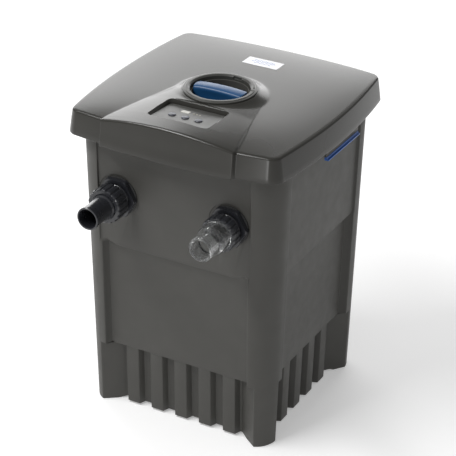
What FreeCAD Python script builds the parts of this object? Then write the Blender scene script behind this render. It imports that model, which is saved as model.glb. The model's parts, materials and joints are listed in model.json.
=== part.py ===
"""Box-type pond filter with a lift-off lid, a twist-out UVC lamp unit, a sludge pump and hose fittings.

Millimetres, +Z up. The origin is the middle of the footprint, on the surface that the four feet stand on.
-Y is the front with the two hose fittings, +Y the rear with the outlet, +X the right-hand side.
"""
import FreeCAD
import Part
import math
import os
import re
from types import SimpleNamespace

from FreeCAD import Placement, Rotation, Vector

UP = Vector(0, 0, 1)
FRONT = Vector(0, -1, 0)
REAR = Vector(0, 1, 0)
X_AXIS = Vector(1, 0, 0)

doc = FreeCAD.newDocument("pond_filter")
sheet = doc.addObject("Spreadsheet::Sheet", "dims")

DRIVING = [
    # tank
    ("foot_half", 155.7, "half width of the tank at the floor"),
    ("rim_half", 165.5, "half width of the tank at its rim"),
    ("tank_height", 473.0, "height of the tank's rim"),
    ("pillar_round", 36.0, "outer corner radius of the pillars"),
    ("wall", 4.0, "moulded wall thickness"),
    ("floor_gap", 3.0, "height of the ribs and the tank bottom above the feet"),
    ("low_ledge", 107.0, "height of the ledge above the ribs"),
    ("mid_ledge", 289.0, "height of the ledge under the upper panels"),
    ("upper_recess", 3.5, "depth of the upper panels in the pillars' faces"),
    ("middle_recess", 12.0, "depth of the middle panels"),
    ("low_recess", 25.7, "depth of the wall between the ribs"),
    ("rib_depth", 10.5, "how far a rib stands out of the low wall"),
    ("rib_face", 21.0, "width of a rib's face"),
    ("rib_root", 29.0, "width of a rib at its root"),
    ("rib_pitch", 42.4, "distance from rib to rib"),
    # lid
    ("lid_half_x", 174.1, "lid skirt, half width at its lower corners"),
    ("lid_half_y", 173.9, "lid skirt, half depth at its lower corners"),
    ("lid_bow", 14.5, "how far each side of the skirt bows out"),
    ("lid_draft", 4.9, "how far the skirt leans in from bottom to top"),
    ("lid_round", 23.0, "corner radius of the lid"),
    ("skirt_bottom", 463.4, "height of the skirt's lower edge"),
    ("lid_edge", 500.0, "height of the lid's upper edge"),
    ("lid_crown", 506.0, "height of the lid's flat top"),
    ("nose_proud", 6.3, "how far the control nose stands out of the skirt"),
    ("nose_half", 111.0, "half width of the nose at the front edge"),
    ("nose_rear_half", 60.0, "half width of the nose beside the lamp well"),
    ("nose_crown", 516.0, "height of the nose along its middle"),
    # control panel
    ("panel_long", 100.0, "control panel, size across"),
    ("panel_deep", 69.0, "control panel, size front to back"),
    ("panel_front", -154.0, "y of the control panel's front edge"),
    ("panel_sink", 3.6, "depth of the control panel's front edge under the nose's crown"),
    ("panel_tilt", 4.8, "slope of the control panel, down to the rear, in degrees"),
    ("button_radius", 6.5, "push button radius"),
    ("button_pitch", 21.8, "distance between push buttons"),
    # lamp unit
    ("well_y", -25.0, "y of the lamp well's axis"),
    ("well_bore", 44.8, "inner radius of the lock ring"),
    ("ring_radius", 55.5, "outer radius of the lock ring"),
    ("ring_top", 518.0, "height of the lock ring"),
    ("sleeve_radius", 22.0, "quartz sleeve radius"),
    ("sleeve_bottom", 215.0, "height of the quartz sleeve's closed end"),
    # fittings
    ("port_offset", 93.0, "x of the two hose fittings from the middle"),
    ("port_height", 375.0, "height of the hose fittings' axes"),
    ("port_seat", 161.0, "distance of the fittings' seat from the middle"),
    ("thread_radius", 21.0, "bulkhead thread radius"),
    ("tail_end", 248.5, "distance of the hose tails' mouths from the middle"),
    ("inlet_tail_radius", 16.7, "inlet hose tail radius"),
    ("drain_tail_radius", 18.5, "drain hose tail radius"),
    ("nut_radius", 27.5, "union nut radius"),
    ("locknut_radius", 32.5, "hexagonal locknut, radius over its corners"),
    ("outlet_radius", 37.5, "outlet stub radius, for 75 mm pipe"),
    ("outlet_height", 330.0, "height of the outlet's axis"),
    ("gland_x", -110.0, "x of the cable gland"),
    ("gland_height", 476.0, "height of the cable gland's axis"),
    ("gland_start", 173.2, "y of the cable gland's inner end"),
    ("cord_radius", 3.6, "radius of the cable gland's bore, for the mains cord"),
    # latch
    ("latch_start", -12.0, "y of the latch bar's front end"),
    ("latch_length", 107.0, "length of the latch bar"),
    ("latch_axis", 452.0, "height of the latch pivot"),
]
for row, (alias, number, meaning) in enumerate(DRIVING, start=1):
    sheet.set(f"A{row}", meaning)
    sheet.set(f"B{row}", str(number))
    sheet.setAlias(f"B{row}", alias)
doc.recompute()
d = SimpleNamespace(**{alias: float(sheet.get(alias)) for alias, _, _ in DRIVING})
ALIASES = re.compile(r"\b(" + "|".join(alias for alias, _, _ in DRIVING) + r")\b")
TAPER = math.degrees(math.atan((d.rim_half - d.foot_half) / d.tank_height))
nodes = []


# ---------------------------------------------------------------- helpers

def bind(obj, **sizes):
    """Bind properties to formulas written with the sheet's aliases."""
    for name, formula in sizes.items():
        obj.setExpression(name, ALIASES.sub(r"dims.\1", str(formula)))
    return obj


def at(x=0.0, y=0.0, z=0.0, direction=UP):
    """A placement at a point, with the local Z axis along a direction."""
    return Placement(Vector(x, y, z), Rotation(UP, direction))


def cylinder(name, radius, height, placement):
    obj = bind(doc.addObject("Part::Cylinder", name), Radius=radius, Height=height)
    obj.Placement = placement
    return obj


def cone(name, radius, far_radius, height, placement):
    obj = doc.addObject("Part::Cone", name)
    bind(obj, Radius1=radius, Radius2=far_radius, Height=height)
    obj.Placement = placement
    return obj


def box(name, length, width, height, corner):
    """A box from its lowest corner; its sizes are formulas."""
    obj = bind(doc.addObject("Part::Box", name), Length=length, Width=width, Height=height)
    obj.Placement = Placement(corner, Rotation())
    return obj


def torus(name, radius, thickness, placement):
    obj = bind(doc.addObject("Part::Torus", name), Radius1=radius, Radius2=thickness)
    obj.Placement = placement
    return obj


def fuse(name, parts):
    obj = doc.addObject("Part::MultiFuse", name)
    obj.Shapes = parts
    return obj


def cut(name, base, tool):
    obj = doc.addObject("Part::Cut", name)
    obj.Base = base
    obj.Tool = tool
    return obj


def tube(name, radius, bore, height, placement):
    """A round tube; radius, bore and height are formulas."""
    outer = cylinder(f"{name}_outer", radius, height, placement)
    inner = cylinder(f"{name}_bore", bore, height, placement)
    return cut(name, outer, inner)


def node(obj, label):
    """Register a finished sub-part under the name of its file."""
    obj.Label = label
    nodes.append(obj)
    return obj


def own_plane(body, role):
    return next(f for f in body.Origin.OriginFeatures if f.Role == role)


def rounded_square(body, name, half, radius, height):
    """A sketch of a square with round corners, centred on Z."""
    sketch = body.newObject("Sketcher::SketchObject", name)
    sketch.AttachmentSupport = [(own_plane(body, "XY_Plane"), "")]
    sketch.MapMode = "FlatFace"
    sketch.AttachmentOffset = Placement(Vector(0, 0, height), Rotation())
    flat = half - radius
    corners = [(flat, flat), (-flat, flat), (-flat, -flat), (flat, -flat)]
    for index, (x, y) in enumerate(corners):
        start = index * math.pi / 2
        circle = Part.Circle(Vector(x, y, 0), UP, radius)
        sketch.addGeometry(Part.ArcOfCircle(circle, start, start + math.pi / 2))
    for index in range(4):
        arc = sketch.Geometry[index]
        following = sketch.Geometry[(index + 1) % 4]
        sketch.addGeometry(Part.LineSegment(arc.EndPoint, following.StartPoint))
    return sketch


def tapered_block(label, half, radius, low, high, wall_taper=TAPER):
    """A block with round corners that widens upwards by the tank's taper."""
    body = doc.addObject("PartDesign::Body", label)
    sketch = rounded_square(body, f"{label}_outline", half, radius, low)
    doc.recompute()
    pad = body.newObject("PartDesign::Pad", f"{label}_pad")
    pad.Profile = sketch
    pad.Length = high - low
    pad.TaperAngle = wall_taper
    body.Tip = pad
    return body


def wedge(name, root_half, outer_half, depth, low, high, distance, turn):
    """A prism that stands out of a tapered wall, wider or narrower at its outer face.

    It starts at a distance from the tank's axis, on the side that a turn about Z points to.
    """
    lean = math.radians(TAPER)
    lift = distance * math.sin(lean)
    obj = doc.addObject("Part::Wedge", name)
    bind(obj, Xmin=f"-({root_half})", Xmax=root_half, X2min=f"-({outer_half})", X2max=outer_half)
    bind(obj, Ymin=distance * math.cos(lean), Ymax=distance * math.cos(lean) + depth)
    bind(obj, Zmin=low + lift, Z2min=low + lift, Zmax=high + lift, Z2max=high + lift)
    turning = Rotation(UP, turn).multiply(Rotation(X_AXIS, -TAPER))
    obj.Placement = Placement(Vector(), turning)
    return obj


def revolved(label, profile, placement):
    """A turned piece: (radius, height) points about the local Z axis."""
    body = doc.addObject("PartDesign::Body", label)
    sketch = body.newObject("Sketcher::SketchObject", f"{label}_profile")
    sketch.AttachmentSupport = [(own_plane(body, "XZ_Plane"), "")]
    sketch.MapMode = "FlatFace"
    points = [Vector(radius, height, 0) for radius, height in profile]
    for start, end in zip(points, points[1:] + points[:1]):
        sketch.addGeometry(Part.LineSegment(start, end))
    doc.recompute()
    turned = body.newObject("PartDesign::Revolution", f"{label}_revolution")
    turned.Profile = sketch
    turned.ReferenceAxis = (sketch, ["V_Axis"])
    turned.Angle = 360
    body.Tip = turned
    body.Placement = placement
    return body


def pipe(name, points, bend, radius):
    """A round bar along straight runs joined by tangent arcs of one bend radius."""
    edges = []
    start = points[0]
    for before, corner, after in zip(points, points[1:], points[2:]):
        inward = (before - corner).normalize()
        outward = (after - corner).normalize()
        half_turn = (math.pi - inward.getAngle(outward)) / 2
        back = bend * math.tan(half_turn)
        first = corner + inward * back
        last = corner + outward * back
        middle_way = (inward + outward).normalize()
        middle = corner + middle_way * (bend / math.cos(half_turn) - bend)
        edges.append(Part.LineSegment(start, first).toShape())
        edges.append(Part.Arc(first, middle, last).toShape())
        start = last
    edges.append(Part.LineSegment(start, points[-1]).toShape())
    path = Part.Wire(edges)
    circle = Part.Wire(Part.makeCircle(radius, points[0], points[1] - points[0]))
    obj = doc.addObject("Part::Feature", name)
    obj.Shape = path.makePipeShell([circle], True, False)
    return obj


def hose(name, points, bend, radius, bore):
    return cut(name, pipe(f"{name}_outer", points, bend, radius), pipe(f"{name}_bore", points, bend, bore))


# ---------------------------------------------------------------- tank

SIDES = [
    # turn about Z, number of ribs, half widths of the low, middle and upper panels
    (180, 5, 103, 118, 127),
    (0, 5, 103, 118, 127),
    (90, 4, 86, 104.5, 112),
    (270, 4, 86, 104.5, 112),
]
LOW_FLARE = 38.5
MIDDLE_FLARE = 10.0
UPPER_FLARE = 2.5


def tank_side_cuts():
    """The stepped panels between the pillars: low, middle and upper on each side."""
    cuts = []
    for turn, _, low_half, middle_half, upper_half in SIDES:
        low = d.foot_half - d.low_recess
        middle = d.foot_half - d.middle_recess
        upper = d.foot_half - d.upper_recess
        cuts.append(wedge(f"low_panel_{turn}", low_half, low_half + LOW_FLARE, 28, -20, d.low_ledge, low, turn))
        cuts.append(wedge(f"middle_panel_{turn}", middle_half, middle_half + MIDDLE_FLARE, 20,
                          d.low_ledge - 1, d.mid_ledge, middle, turn))
        cuts.append(wedge(f"upper_panel_{turn}", upper_half, upper_half + UPPER_FLARE, 10,
                          d.mid_ledge - 1, d.tank_height + 20, upper, turn))
    return cuts


def tank_ribs():
    """Drafted vertical ribs on the low walls, from the floor gap up to the low ledge."""
    ribs = []
    inside = 2.0
    for turn, count, _, _, _ in SIDES:
        for index in range(count):
            offset = (index - (count - 1) / 2) * d.rib_pitch
            rib = wedge(f"rib_{turn}_{index}", "rib_root / 2 + 0.8", "rib_face / 2", d.rib_depth + inside,
                        d.floor_gap, d.low_ledge + 1, d.foot_half - d.low_recess - inside, turn)
            rib.Placement.Base = Rotation(UP, turn).multVec(Vector(offset, 0, 0))
            ribs.append(rib)
    return ribs


def latch_lugs(side):
    """Two ears on a side wall that hold the ends of the latch pin."""
    ears = []
    thick = 4.0
    for name, y in (("front", d.latch_start - thick - 0.4), ("rear", d.latch_start + d.latch_length + 0.4)):
        x = 158.0 if side > 0 else -173.0
        ears.append(box(f"latch_ear_{name}_{side}", 15, thick, 11, Vector(x, y, d.latch_axis - 5.5)))
    return ears


def make_tank():
    block = tapered_block("tank_block", d.foot_half, d.pillar_round, 0, d.tank_height)
    panelled = cut("tank_panels", block, fuse("tank_panel_cuts", tank_side_cuts()))
    underside = box("underside_gap", "2 * foot_half - 2 * low_recess + 2", "2 * foot_half - 2 * low_recess + 2",
                    "floor_gap", Vector(d.low_recess - d.foot_half - 1, d.low_recess - d.foot_half - 1, 0))
    seats = [cylinder(f"port_seat_{x:.0f}", 34, 13, at(x, -d.port_seat, d.port_height, REAR))
             for x in (-d.port_offset, d.port_offset)]
    pad = box("outlet_seat", 108, 12, 108, Vector(-54, 148.5, d.outlet_height - 54))
    solid = fuse("tank_solid", [panelled, pad] + seats + tank_ribs() + latch_lugs(1) + latch_lugs(-1))
    low = d.foot_half - d.low_recess - d.wall
    middle = d.foot_half - d.middle_recess - d.wall + 2.2
    upper = d.foot_half - d.upper_recess - d.wall + 6
    hollows = [
        tapered_block("low_hollow", low, 22, d.floor_gap + d.wall, d.tank_height + 5),
        tapered_block("middle_hollow", middle, 30, d.low_ledge + d.wall, d.tank_height + 5),
        tapered_block("upper_hollow", upper, 34, d.mid_ledge + d.wall, d.tank_height + 5),
    ]
    room = fuse("tank_room", hollows)
    inner_seats = [cylinder(f"inner_seat_{x:.0f}", 34, 10, at(x, -d.port_seat, d.port_height, REAR))
                   for x in (-d.port_offset, d.port_offset)]
    inner_pad = box("outlet_inner_seat", 108, 9, 108, Vector(-54, 151.5, d.outlet_height - 54))
    hollow_tank = fuse("tank_walls", [cut("tank_hollow", solid, room), inner_pad] + inner_seats)
    bores = [cylinder(f"port_bore_{x:.0f}", "thread_radius", 40, at(x, -d.port_seat - 5, d.port_height, REAR))
             for x in (-d.port_offset, d.port_offset)]
    bores.append(cylinder("outlet_bore", "outlet_radius + 0.5", 40, at(0, 140, d.outlet_height, REAR)))
    for index, (x, z) in enumerate(outlet_screw_places()):
        bores.append(cylinder(f"screw_hole_{index}", 2.1, 10, at(x, 153, z, REAR)))
    for side in (1, -1):
        bores.append(cylinder(f"latch_pin_hole_{side}", 2, "latch_length + 20",
                              at(169 * side, d.latch_start - 10, d.latch_axis, REAR)))
    bores.append(underside)
    node(cut("tank_shell", hollow_tank, fuse("tank_bores", bores)), "tank_shell")


def outlet_screw_places():
    reach = 43.0
    return [(x, d.outlet_height + z) for x in (-reach, reach) for z in (-reach, reach)]


# ---------------------------------------------------------------- hose fittings

BULKHEAD_END = 190.0


def make_fitting(name, x, tail_profile, nut_lip, nut_front):
    """Gasket, threaded bulkhead, locknut, sealing ring, hose tail and union nut on one front port."""
    def outward(distance):
        return at(x, -distance, d.port_height, FRONT)

    seat = d.port_seat
    gasket = 2.5
    node(tube(f"{name}_gasket", "locknut_radius - 1.5", "thread_radius", gasket, outward(seat)), f"{name}_gasket")

    inner_face = 151.0
    flange = cylinder(f"{name}_flange", 30, 5, outward(inner_face - 5))
    barrel = cylinder(f"{name}_barrel", "thread_radius", BULKHEAD_END - inner_face + 5, outward(inner_face - 5))
    bore = cylinder(f"{name}_waterway", 15, 60, outward(inner_face - 10))
    groove = tube(f"{name}_groove", 19.6, 16.4, 3, outward(BULKHEAD_END - 3))
    solid = fuse(f"{name}_bulkhead_solid", [flange, barrel])
    node(cut(f"{name}_bulkhead", solid, fuse(f"{name}_bulkhead_cuts", [bore, groove])), f"{name}_bulkhead")

    locknut = doc.addObject("Part::Prism", f"{name}_hexagon")
    locknut.Polygon = 6
    bind(locknut, Circumradius="locknut_radius", Height=8)
    locknut.Placement = outward(seat + gasket)
    chamfer = cone(f"{name}_hexagon_chamfer", "locknut_radius + 2.4", "locknut_radius - 2", 8, outward(seat + gasket))
    rounded = doc.addObject("Part::Common", f"{name}_hexagon_rounded")
    rounded.Base = locknut
    rounded.Tool = chamfer
    thread = cylinder(f"{name}_locknut_thread", "thread_radius", 12, outward(seat + gasket))
    node(cut(f"{name}_locknut", rounded, thread), f"{name}_locknut")

    node(torus(f"{name}_sealing_ring", 18, 1.5, outward(BULKHEAD_END - 1.5)), f"{name}_sealing_ring")

    profile = [(radius, distance - BULKHEAD_END) for radius, distance in tail_profile]
    node(revolved(f"{name}_hose_tail", profile, outward(BULKHEAD_END)), f"{name}_hose_tail")
    make_union_nut(name, x, nut_lip, nut_front)


def make_union_nut(name, x, lip, front):
    """A ribbed nut that runs on the bulkhead and traps the hose tail's collar under its lip."""
    back = 179.0
    clearance = 0.06
    collar_room = 24.8
    collar_end = 194.2
    profile = [
        (d.thread_radius + clearance, back), (d.nut_radius - 1.5, back), (d.nut_radius, back + 1.5),
        (d.nut_radius, front - 2.5), (d.nut_radius - 2.5, front), (lip, front), (lip, collar_end),
        (collar_room, collar_end), (collar_room, BULKHEAD_END - 0.6), (d.thread_radius + clearance, BULKHEAD_END - 0.6),
    ]
    placement = at(x, -back, d.port_height, FRONT)
    blank = revolved(f"{name}_nut_blank", [(radius, y - back) for radius, y in profile], placement)
    grooves = []
    count = 18
    for index in range(count):
        angle = 2 * math.pi * index / count
        reach = d.nut_radius + 1.1
        place = Placement(Vector(x + reach * math.cos(angle), -back - 2.5, d.port_height + reach * math.sin(angle)),
                          Rotation(UP, FRONT))
        grooves.append(cylinder(f"{name}_nut_groove_{index}", 2.4, front - back - 5, place))
    node(cut(f"{name}_union_nut", blank, fuse(f"{name}_nut_grooves", grooves)), f"{name}_union_nut")


def make_fittings():
    end = d.tail_end
    tail = d.inlet_tail_radius
    inlet = [
        (14.5, 190), (24, 190), (24, 194), (19.5, 194), (19.5, 206), (tail, 208), (tail, end - 7),
        (tail + 0.9, end - 6), (tail + 0.9, end - 1), (tail, end), (14.5, end),
    ]
    make_fitting("inlet", -d.port_offset, inlet, 19.9, 204.5)
    tail = d.drain_tail_radius
    drain = [
        (15.5, 190), (24.4, 190), (24.4, 193.8), (22.7, 193.8), (22.7, 217), (tail, 224), (tail, end - 1.5),
        (tail - 1, end), (15.7, end), (15.7, 222), (19.2, 215), (19.2, 196), (15.5, 194),
    ]
    make_fitting("drain", d.port_offset, drain, 23.1, 199.0)


def make_outlet():
    """Outlet stub for 75 mm pipe with a square flange, gasket and four screws, on the rear panel."""
    face = 160.5
    gasket = 2.0
    plate = 5.0
    square = box("outlet_gasket_square", 100, gasket, 100, Vector(-50, face, d.outlet_height - 50))
    hole = cylinder("outlet_gasket_hole", "outlet_radius", 6, at(0, face - 2, d.outlet_height, REAR))
    screws = fuse("outlet_gasket_screws", [cylinder(f"gasket_screw_{i}", 2.6, 8, at(x, face - 2, z, REAR))
                                           for i, (x, z) in enumerate(outlet_screw_places())])
    node(cut("outlet_gasket", square, fuse("outlet_gasket_cuts", [hole, screws])), "outlet_gasket")

    flange = box("outlet_flange_square", 100, plate, 100, Vector(-50, face + gasket, d.outlet_height - 50))
    barrel = cylinder("outlet_barrel", "outlet_radius", "tail_end - 147", at(0, 147, d.outlet_height, REAR))
    water = cylinder("outlet_waterway", "outlet_radius - 3.2", "tail_end - 140", at(0, 145, d.outlet_height, REAR))
    holes = [cylinder(f"flange_screw_{i}", 2.6, 12, at(x, face, z, REAR))
             for i, (x, z) in enumerate(outlet_screw_places())]
    stub = fuse("outlet_stub_solid", [flange, barrel])
    node(cut("outlet_stub", stub, fuse("outlet_stub_cuts", [water] + holes)), "outlet_stub")

    bolts = []
    for index, (x, z) in enumerate(outlet_screw_places()):
        head = cylinder(f"outlet_screw_head_{index}", 4.5, 3.2, at(x, face + gasket + plate, z, REAR))
        shank = cylinder(f"outlet_screw_shank_{index}", 2.1, 14, at(x, face + gasket + plate - 13.5, z, REAR))
        socket = cylinder(f"outlet_screw_socket_{index}", 2.0, 3, at(x, face + gasket + plate + 1.6, z, REAR))
        bolts.append(cut(f"outlet_screw_{index}", fuse(f"outlet_screw_solid_{index}", [head, shank]), socket))
    node(fuse("outlet_screws", bolts), "outlet_screws")


# ---------------------------------------------------------------- inside the tank

FOAM_FRONT = 31.0
FOAM_REAR = 134.0
FOAM_LOW = 120.0
FOAM_HIGH = 392.0
FOAM_HALF = 132.0


def slotted_plate(name, low, thickness, slots):
    """A grid plate over the foam room, slotted along Y."""
    plate = box(f"{name}_plate", 2 * FOAM_HALF, FOAM_REAR - FOAM_FRONT, thickness, Vector(-FOAM_HALF, FOAM_FRONT, low))
    pitch = 2 * FOAM_HALF / slots
    openings = []
    for index in range(slots):
        x = -FOAM_HALF + (index + 0.5) * pitch - pitch * 0.3
        for row, (start, length) in enumerate(((FOAM_FRONT + 6, 42), (FOAM_FRONT + 55, 42))):
            openings.append(box(f"{name}_slot_{index}_{row}", pitch * 0.6, length, thickness + 4,
                                Vector(x, start, low - 2)))
    return cut(name, plate, fuse(f"{name}_slots", openings))


def make_filter_media():
    node(slotted_plate("foam_support_grid", FOAM_LOW - 9, 8.5, 12), "foam_support_grid")
    node(slotted_plate("foam_top_grid", FOAM_HIGH + 0.5, 6, 12), "foam_top_grid")
    divider = box("divider_plate", 276, 4, 318, Vector(-138, 24, d.low_ledge + d.wall))
    window = box("divider_window", 200, 20, 30, Vector(-100, 18, 395))
    node(cut("divider_wall", divider, window), "divider_wall")
    names = ("coarse_foam_left", "fine_foam_left", "fine_foam_right", "coarse_foam_right")
    pitch = 2 * FOAM_HALF / len(names)
    for index, name in enumerate(names):
        block = box(f"{name}_block", pitch - 1, FOAM_REAR - FOAM_FRONT - 1, FOAM_HIGH - FOAM_LOW,
                    Vector(-FOAM_HALF + index * pitch + 0.5, FOAM_FRONT + 0.5, FOAM_LOW))
        node(block, name)


def make_waterways():
    """Inlet pipe to the lamp housing, and the sludge pump's riser to the drain port."""
    inlet_run = [
        Vector(-d.port_offset, -146, d.port_height),
        Vector(-d.port_offset, d.well_y, d.port_height),
        Vector(-36, d.well_y, d.port_height),
    ]
    node(hose("inlet_pipe", inlet_run, 26, 18, 15), "inlet_pipe")
    riser_run = [
        Vector(d.port_offset, -90, 92),
        Vector(d.port_offset, -90, d.port_height),
        Vector(d.port_offset, -146, d.port_height),
    ]
    node(hose("sludge_riser", riser_run, 30, 13, 10), "sludge_riser")


def make_lamp_housing():
    """An open-topped tube around the lamp, on a foot plate, with the inlet pipe's port in its side."""
    low = 150.0
    wall_outer = cylinder("lamp_housing_outer", 39, 440 - low, at(0, d.well_y, low))
    inner = cylinder("lamp_housing_inner", 35, 460 - low, at(0, d.well_y, low + 5))
    port = cylinder("lamp_housing_port", 18, 20, at(-46, d.well_y, d.port_height, X_AXIS))
    bracket = box("lamp_housing_bracket", 40, 14, 60, Vector(-20, 12, 220))
    slots = [box(f"lamp_housing_slot_{i}", 12, 90, 40, Vector(x, d.well_y - 45, low + 12))
             for i, x in enumerate((-20, 8))]
    hollow = fuse("lamp_housing_cuts", [inner, port] + slots)
    body = fuse("lamp_housing_solid", [wall_outer, cut("lamp_bracket_trim", bracket, cylinder(
        "lamp_bracket_trim_tool", 38, 80, at(0, d.well_y, 210)))])
    trimmed = cut("lamp_housing_open", body, hollow)
    node(cut("lamp_housing", trimmed, box("lamp_bracket_gap", 60, 8, 80, Vector(-30, 24, 215))), "lamp_housing")


PUMP_X = 62.0
PUMP_Y = -80.0


def make_sludge_pump():
    """A small centrifugal pump on the tank floor: motor block, volute with riser stub, impeller and strainer."""
    base = d.floor_gap + d.wall
    motor = box("pump_motor_block", 44, 56, 52, Vector(PUMP_X - 62, PUMP_Y - 28, base + 14))
    node(cut("pump_motor", motor, cylinder("pump_rotor_room", 9.5, 44, at(PUMP_X - 50, PUMP_Y, base + 40, X_AXIS))),
         "pump_motor")

    volute = cylinder("volute_outer", 30, 28, at(PUMP_X - 18, PUMP_Y, base + 40, X_AXIS))
    throat = box("volute_throat", 30, 34, 12, Vector(PUMP_X + 6, PUMP_Y - 22, base + 56))
    stub = cylinder("volute_stub", 13, 18, at(d.port_offset, -90, 74))
    deck = box("volute_deck", 40, 26, 12, Vector(PUMP_X + 4, -103, 62))
    room = cylinder("volute_room", 24, 20, at(PUMP_X - 14, PUMP_Y, base + 40, X_AXIS))
    eye = cylinder("volute_eye", 11, 20, at(PUMP_X + 3, PUMP_Y, base + 40, X_AXIS))
    back = cylinder("volute_back", 9.5, 20, at(PUMP_X - 30, PUMP_Y, base + 40, X_AXIS))
    stub_bore = cylinder("volute_stub_bore", 10, 30, at(d.port_offset, -90, 66))
    duct = box("volute_duct", 30, 14, 6, Vector(PUMP_X + 3, -97, 65))
    solid = fuse("volute_solid", [volute, throat, stub, deck])
    node(cut("pump_volute", solid, fuse("volute_cuts", [room, eye, back, stub_bore, duct])), "pump_volute")

    axis_x = PUMP_X - 48
    shaft = cylinder("impeller_rotor", 8.5, 38, at(axis_x, PUMP_Y, base + 40, X_AXIS))
    disc = cylinder("impeller_disc", 21, 3, at(PUMP_X - 12, PUMP_Y, base + 40, X_AXIS))
    vanes = []
    for index in range(6):
        vane = box(f"impeller_vane_{index}", 11, 2.4, 15, Vector(PUMP_X - 10, PUMP_Y - 1.2, base + 45))
        turn = Placement(Vector(), Rotation(X_AXIS, 60 * index), Vector(PUMP_X, PUMP_Y, base + 40))
        vane.Placement = turn.multiply(vane.Placement)
        vanes.append(vane)
    node(fuse("pump_impeller", [shaft, disc] + vanes), "pump_impeller")

    shell = box("strainer_outer", 124, 84, 10, Vector(PUMP_X - 72, PUMP_Y - 42, base))
    well = box("strainer_well", 116, 76, 10, Vector(PUMP_X - 68, PUMP_Y - 38, base + 3))
    slots = [box(f"strainer_slot_{i}", 4, 100, 4, Vector(PUMP_X - 64 + 12 * i, PUMP_Y - 50, base + 4.5))
             for i in range(10)]
    node(cut("pump_strainer", shell, fuse("strainer_cuts", [well] + slots)), "pump_strainer")
    post_places = [(PUMP_X - 56, PUMP_Y - 22), (PUMP_X - 56, PUMP_Y + 22), (PUMP_X - 26, PUMP_Y - 22),
                   (PUMP_X - 26, PUMP_Y + 22)]
    posts = [cylinder(f"pump_foot_{i}", 4, 11, at(x, y, base + 3)) for i, (x, y) in enumerate(post_places)]
    node(fuse("pump_feet", posts), "pump_feet")


# ---------------------------------------------------------------- lid

def lid_outline(name, grow, inward, height):
    """The lid's bowed square at one height, its corners sharp; inward is how far the draft has moved it."""
    half_x = d.lid_half_x - inward + grow
    half_y = d.lid_half_y - inward + grow
    bow = d.lid_bow
    corners = [Vector(-half_x, -half_y, 0), Vector(half_x, -half_y, 0), Vector(half_x, half_y, 0),
               Vector(-half_x, half_y, 0)]
    middles = [Vector(0, -half_y - bow, 0), Vector(half_x + bow, 0, 0), Vector(0, half_y + bow, 0),
               Vector(-half_x - bow, 0, 0)]
    sketch = doc.addObject("Sketcher::SketchObject", name)
    sketch.Placement = Placement(Vector(0, 0, height), Rotation())
    for index in range(4):
        sketch.addGeometry(Part.Arc(corners[index], middles[index], corners[(index + 1) % 4]))
    return sketch


def lid_block(name, grow, low, high, round_radius):
    """A solid with the lid's outline between two heights, grown or shrunk all round."""
    slope = d.lid_draft / (d.lid_edge - d.skirt_bottom)
    loft = doc.addObject("Part::Loft", f"{name}_loft")
    loft.Sections = [lid_outline(f"{name}_low", grow, slope * (low - d.skirt_bottom), low),
                     lid_outline(f"{name}_high", grow, slope * (high - d.skirt_bottom), high)]
    loft.Solid = True
    loft.Ruled = True
    doc.recompute()
    corners = []
    for index, edge in enumerate(loft.Shape.Edges, start=1):
        if abs(edge.Vertexes[0].Z - edge.Vertexes[-1].Z) > 1:
            corners.append((index, round_radius, round_radius))
    rounded = doc.addObject("Part::Fillet", name)
    rounded.Base = loft
    rounded.Edges = corners
    return rounded


def arch_section(name, y, half, low, side_height, crown):
    """An arched section across the nose at one y."""
    sketch = doc.addObject("Sketcher::SketchObject", name)
    sketch.Placement = Placement(Vector(0, y, 0), Rotation(X_AXIS, 90))
    foot_left, foot_right = Vector(-half, low, 0), Vector(half, low, 0)
    left, right = Vector(-half, side_height, 0), Vector(half, side_height, 0)
    sketch.addGeometry(Part.LineSegment(foot_left, foot_right))
    sketch.addGeometry(Part.LineSegment(foot_right, right))
    sketch.addGeometry(Part.Arc(right, Vector(0, crown, 0), left))
    sketch.addGeometry(Part.LineSegment(left, foot_left))
    return sketch


def nose_block(name, shrink, low):
    """The raised control nose from the front edge to the lamp well, widest at the front."""
    front_y, rear_y = -200.0, 12.0
    widen = (d.nose_half - d.nose_rear_half) * 14 / 186
    loft = doc.addObject("Part::Loft", f"{name}_loft")
    loft.Sections = [
        arch_section(f"{name}_front", front_y, d.nose_half + widen - shrink, low, 501.5 - shrink, d.nose_crown - shrink),
        arch_section(f"{name}_rear", rear_y, d.nose_rear_half - shrink, low, 505.5 - shrink, d.nose_crown - shrink),
    ]
    loft.Solid = True
    loft.Ruled = True
    bound = lid_block(f"{name}_bound", d.nose_proud - shrink, low - 1, 530, d.lid_round)
    nose = doc.addObject("Part::Common", name)
    nose.Base = loft
    nose.Tool = bound
    return nose


def panel_frame(x=0.0, depth_back=0.0, lift=0.0):
    """A placement on the tilted control panel: x across, distance back from its front edge, height above it."""
    tilt = Rotation(X_AXIS, -d.panel_tilt)
    origin = Vector(0, d.panel_front, d.nose_crown - d.panel_sink)
    return Placement(origin + tilt.multVec(Vector(x, depth_back, lift)), tilt)


FASCIA = 2.5
BUTTON_BACK = 26.0
RING_THICK = 3.5
GLAND_BARREL = 8.0


def button_xs():
    return [index * d.button_pitch for index in (-1, 0, 1)]


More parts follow.
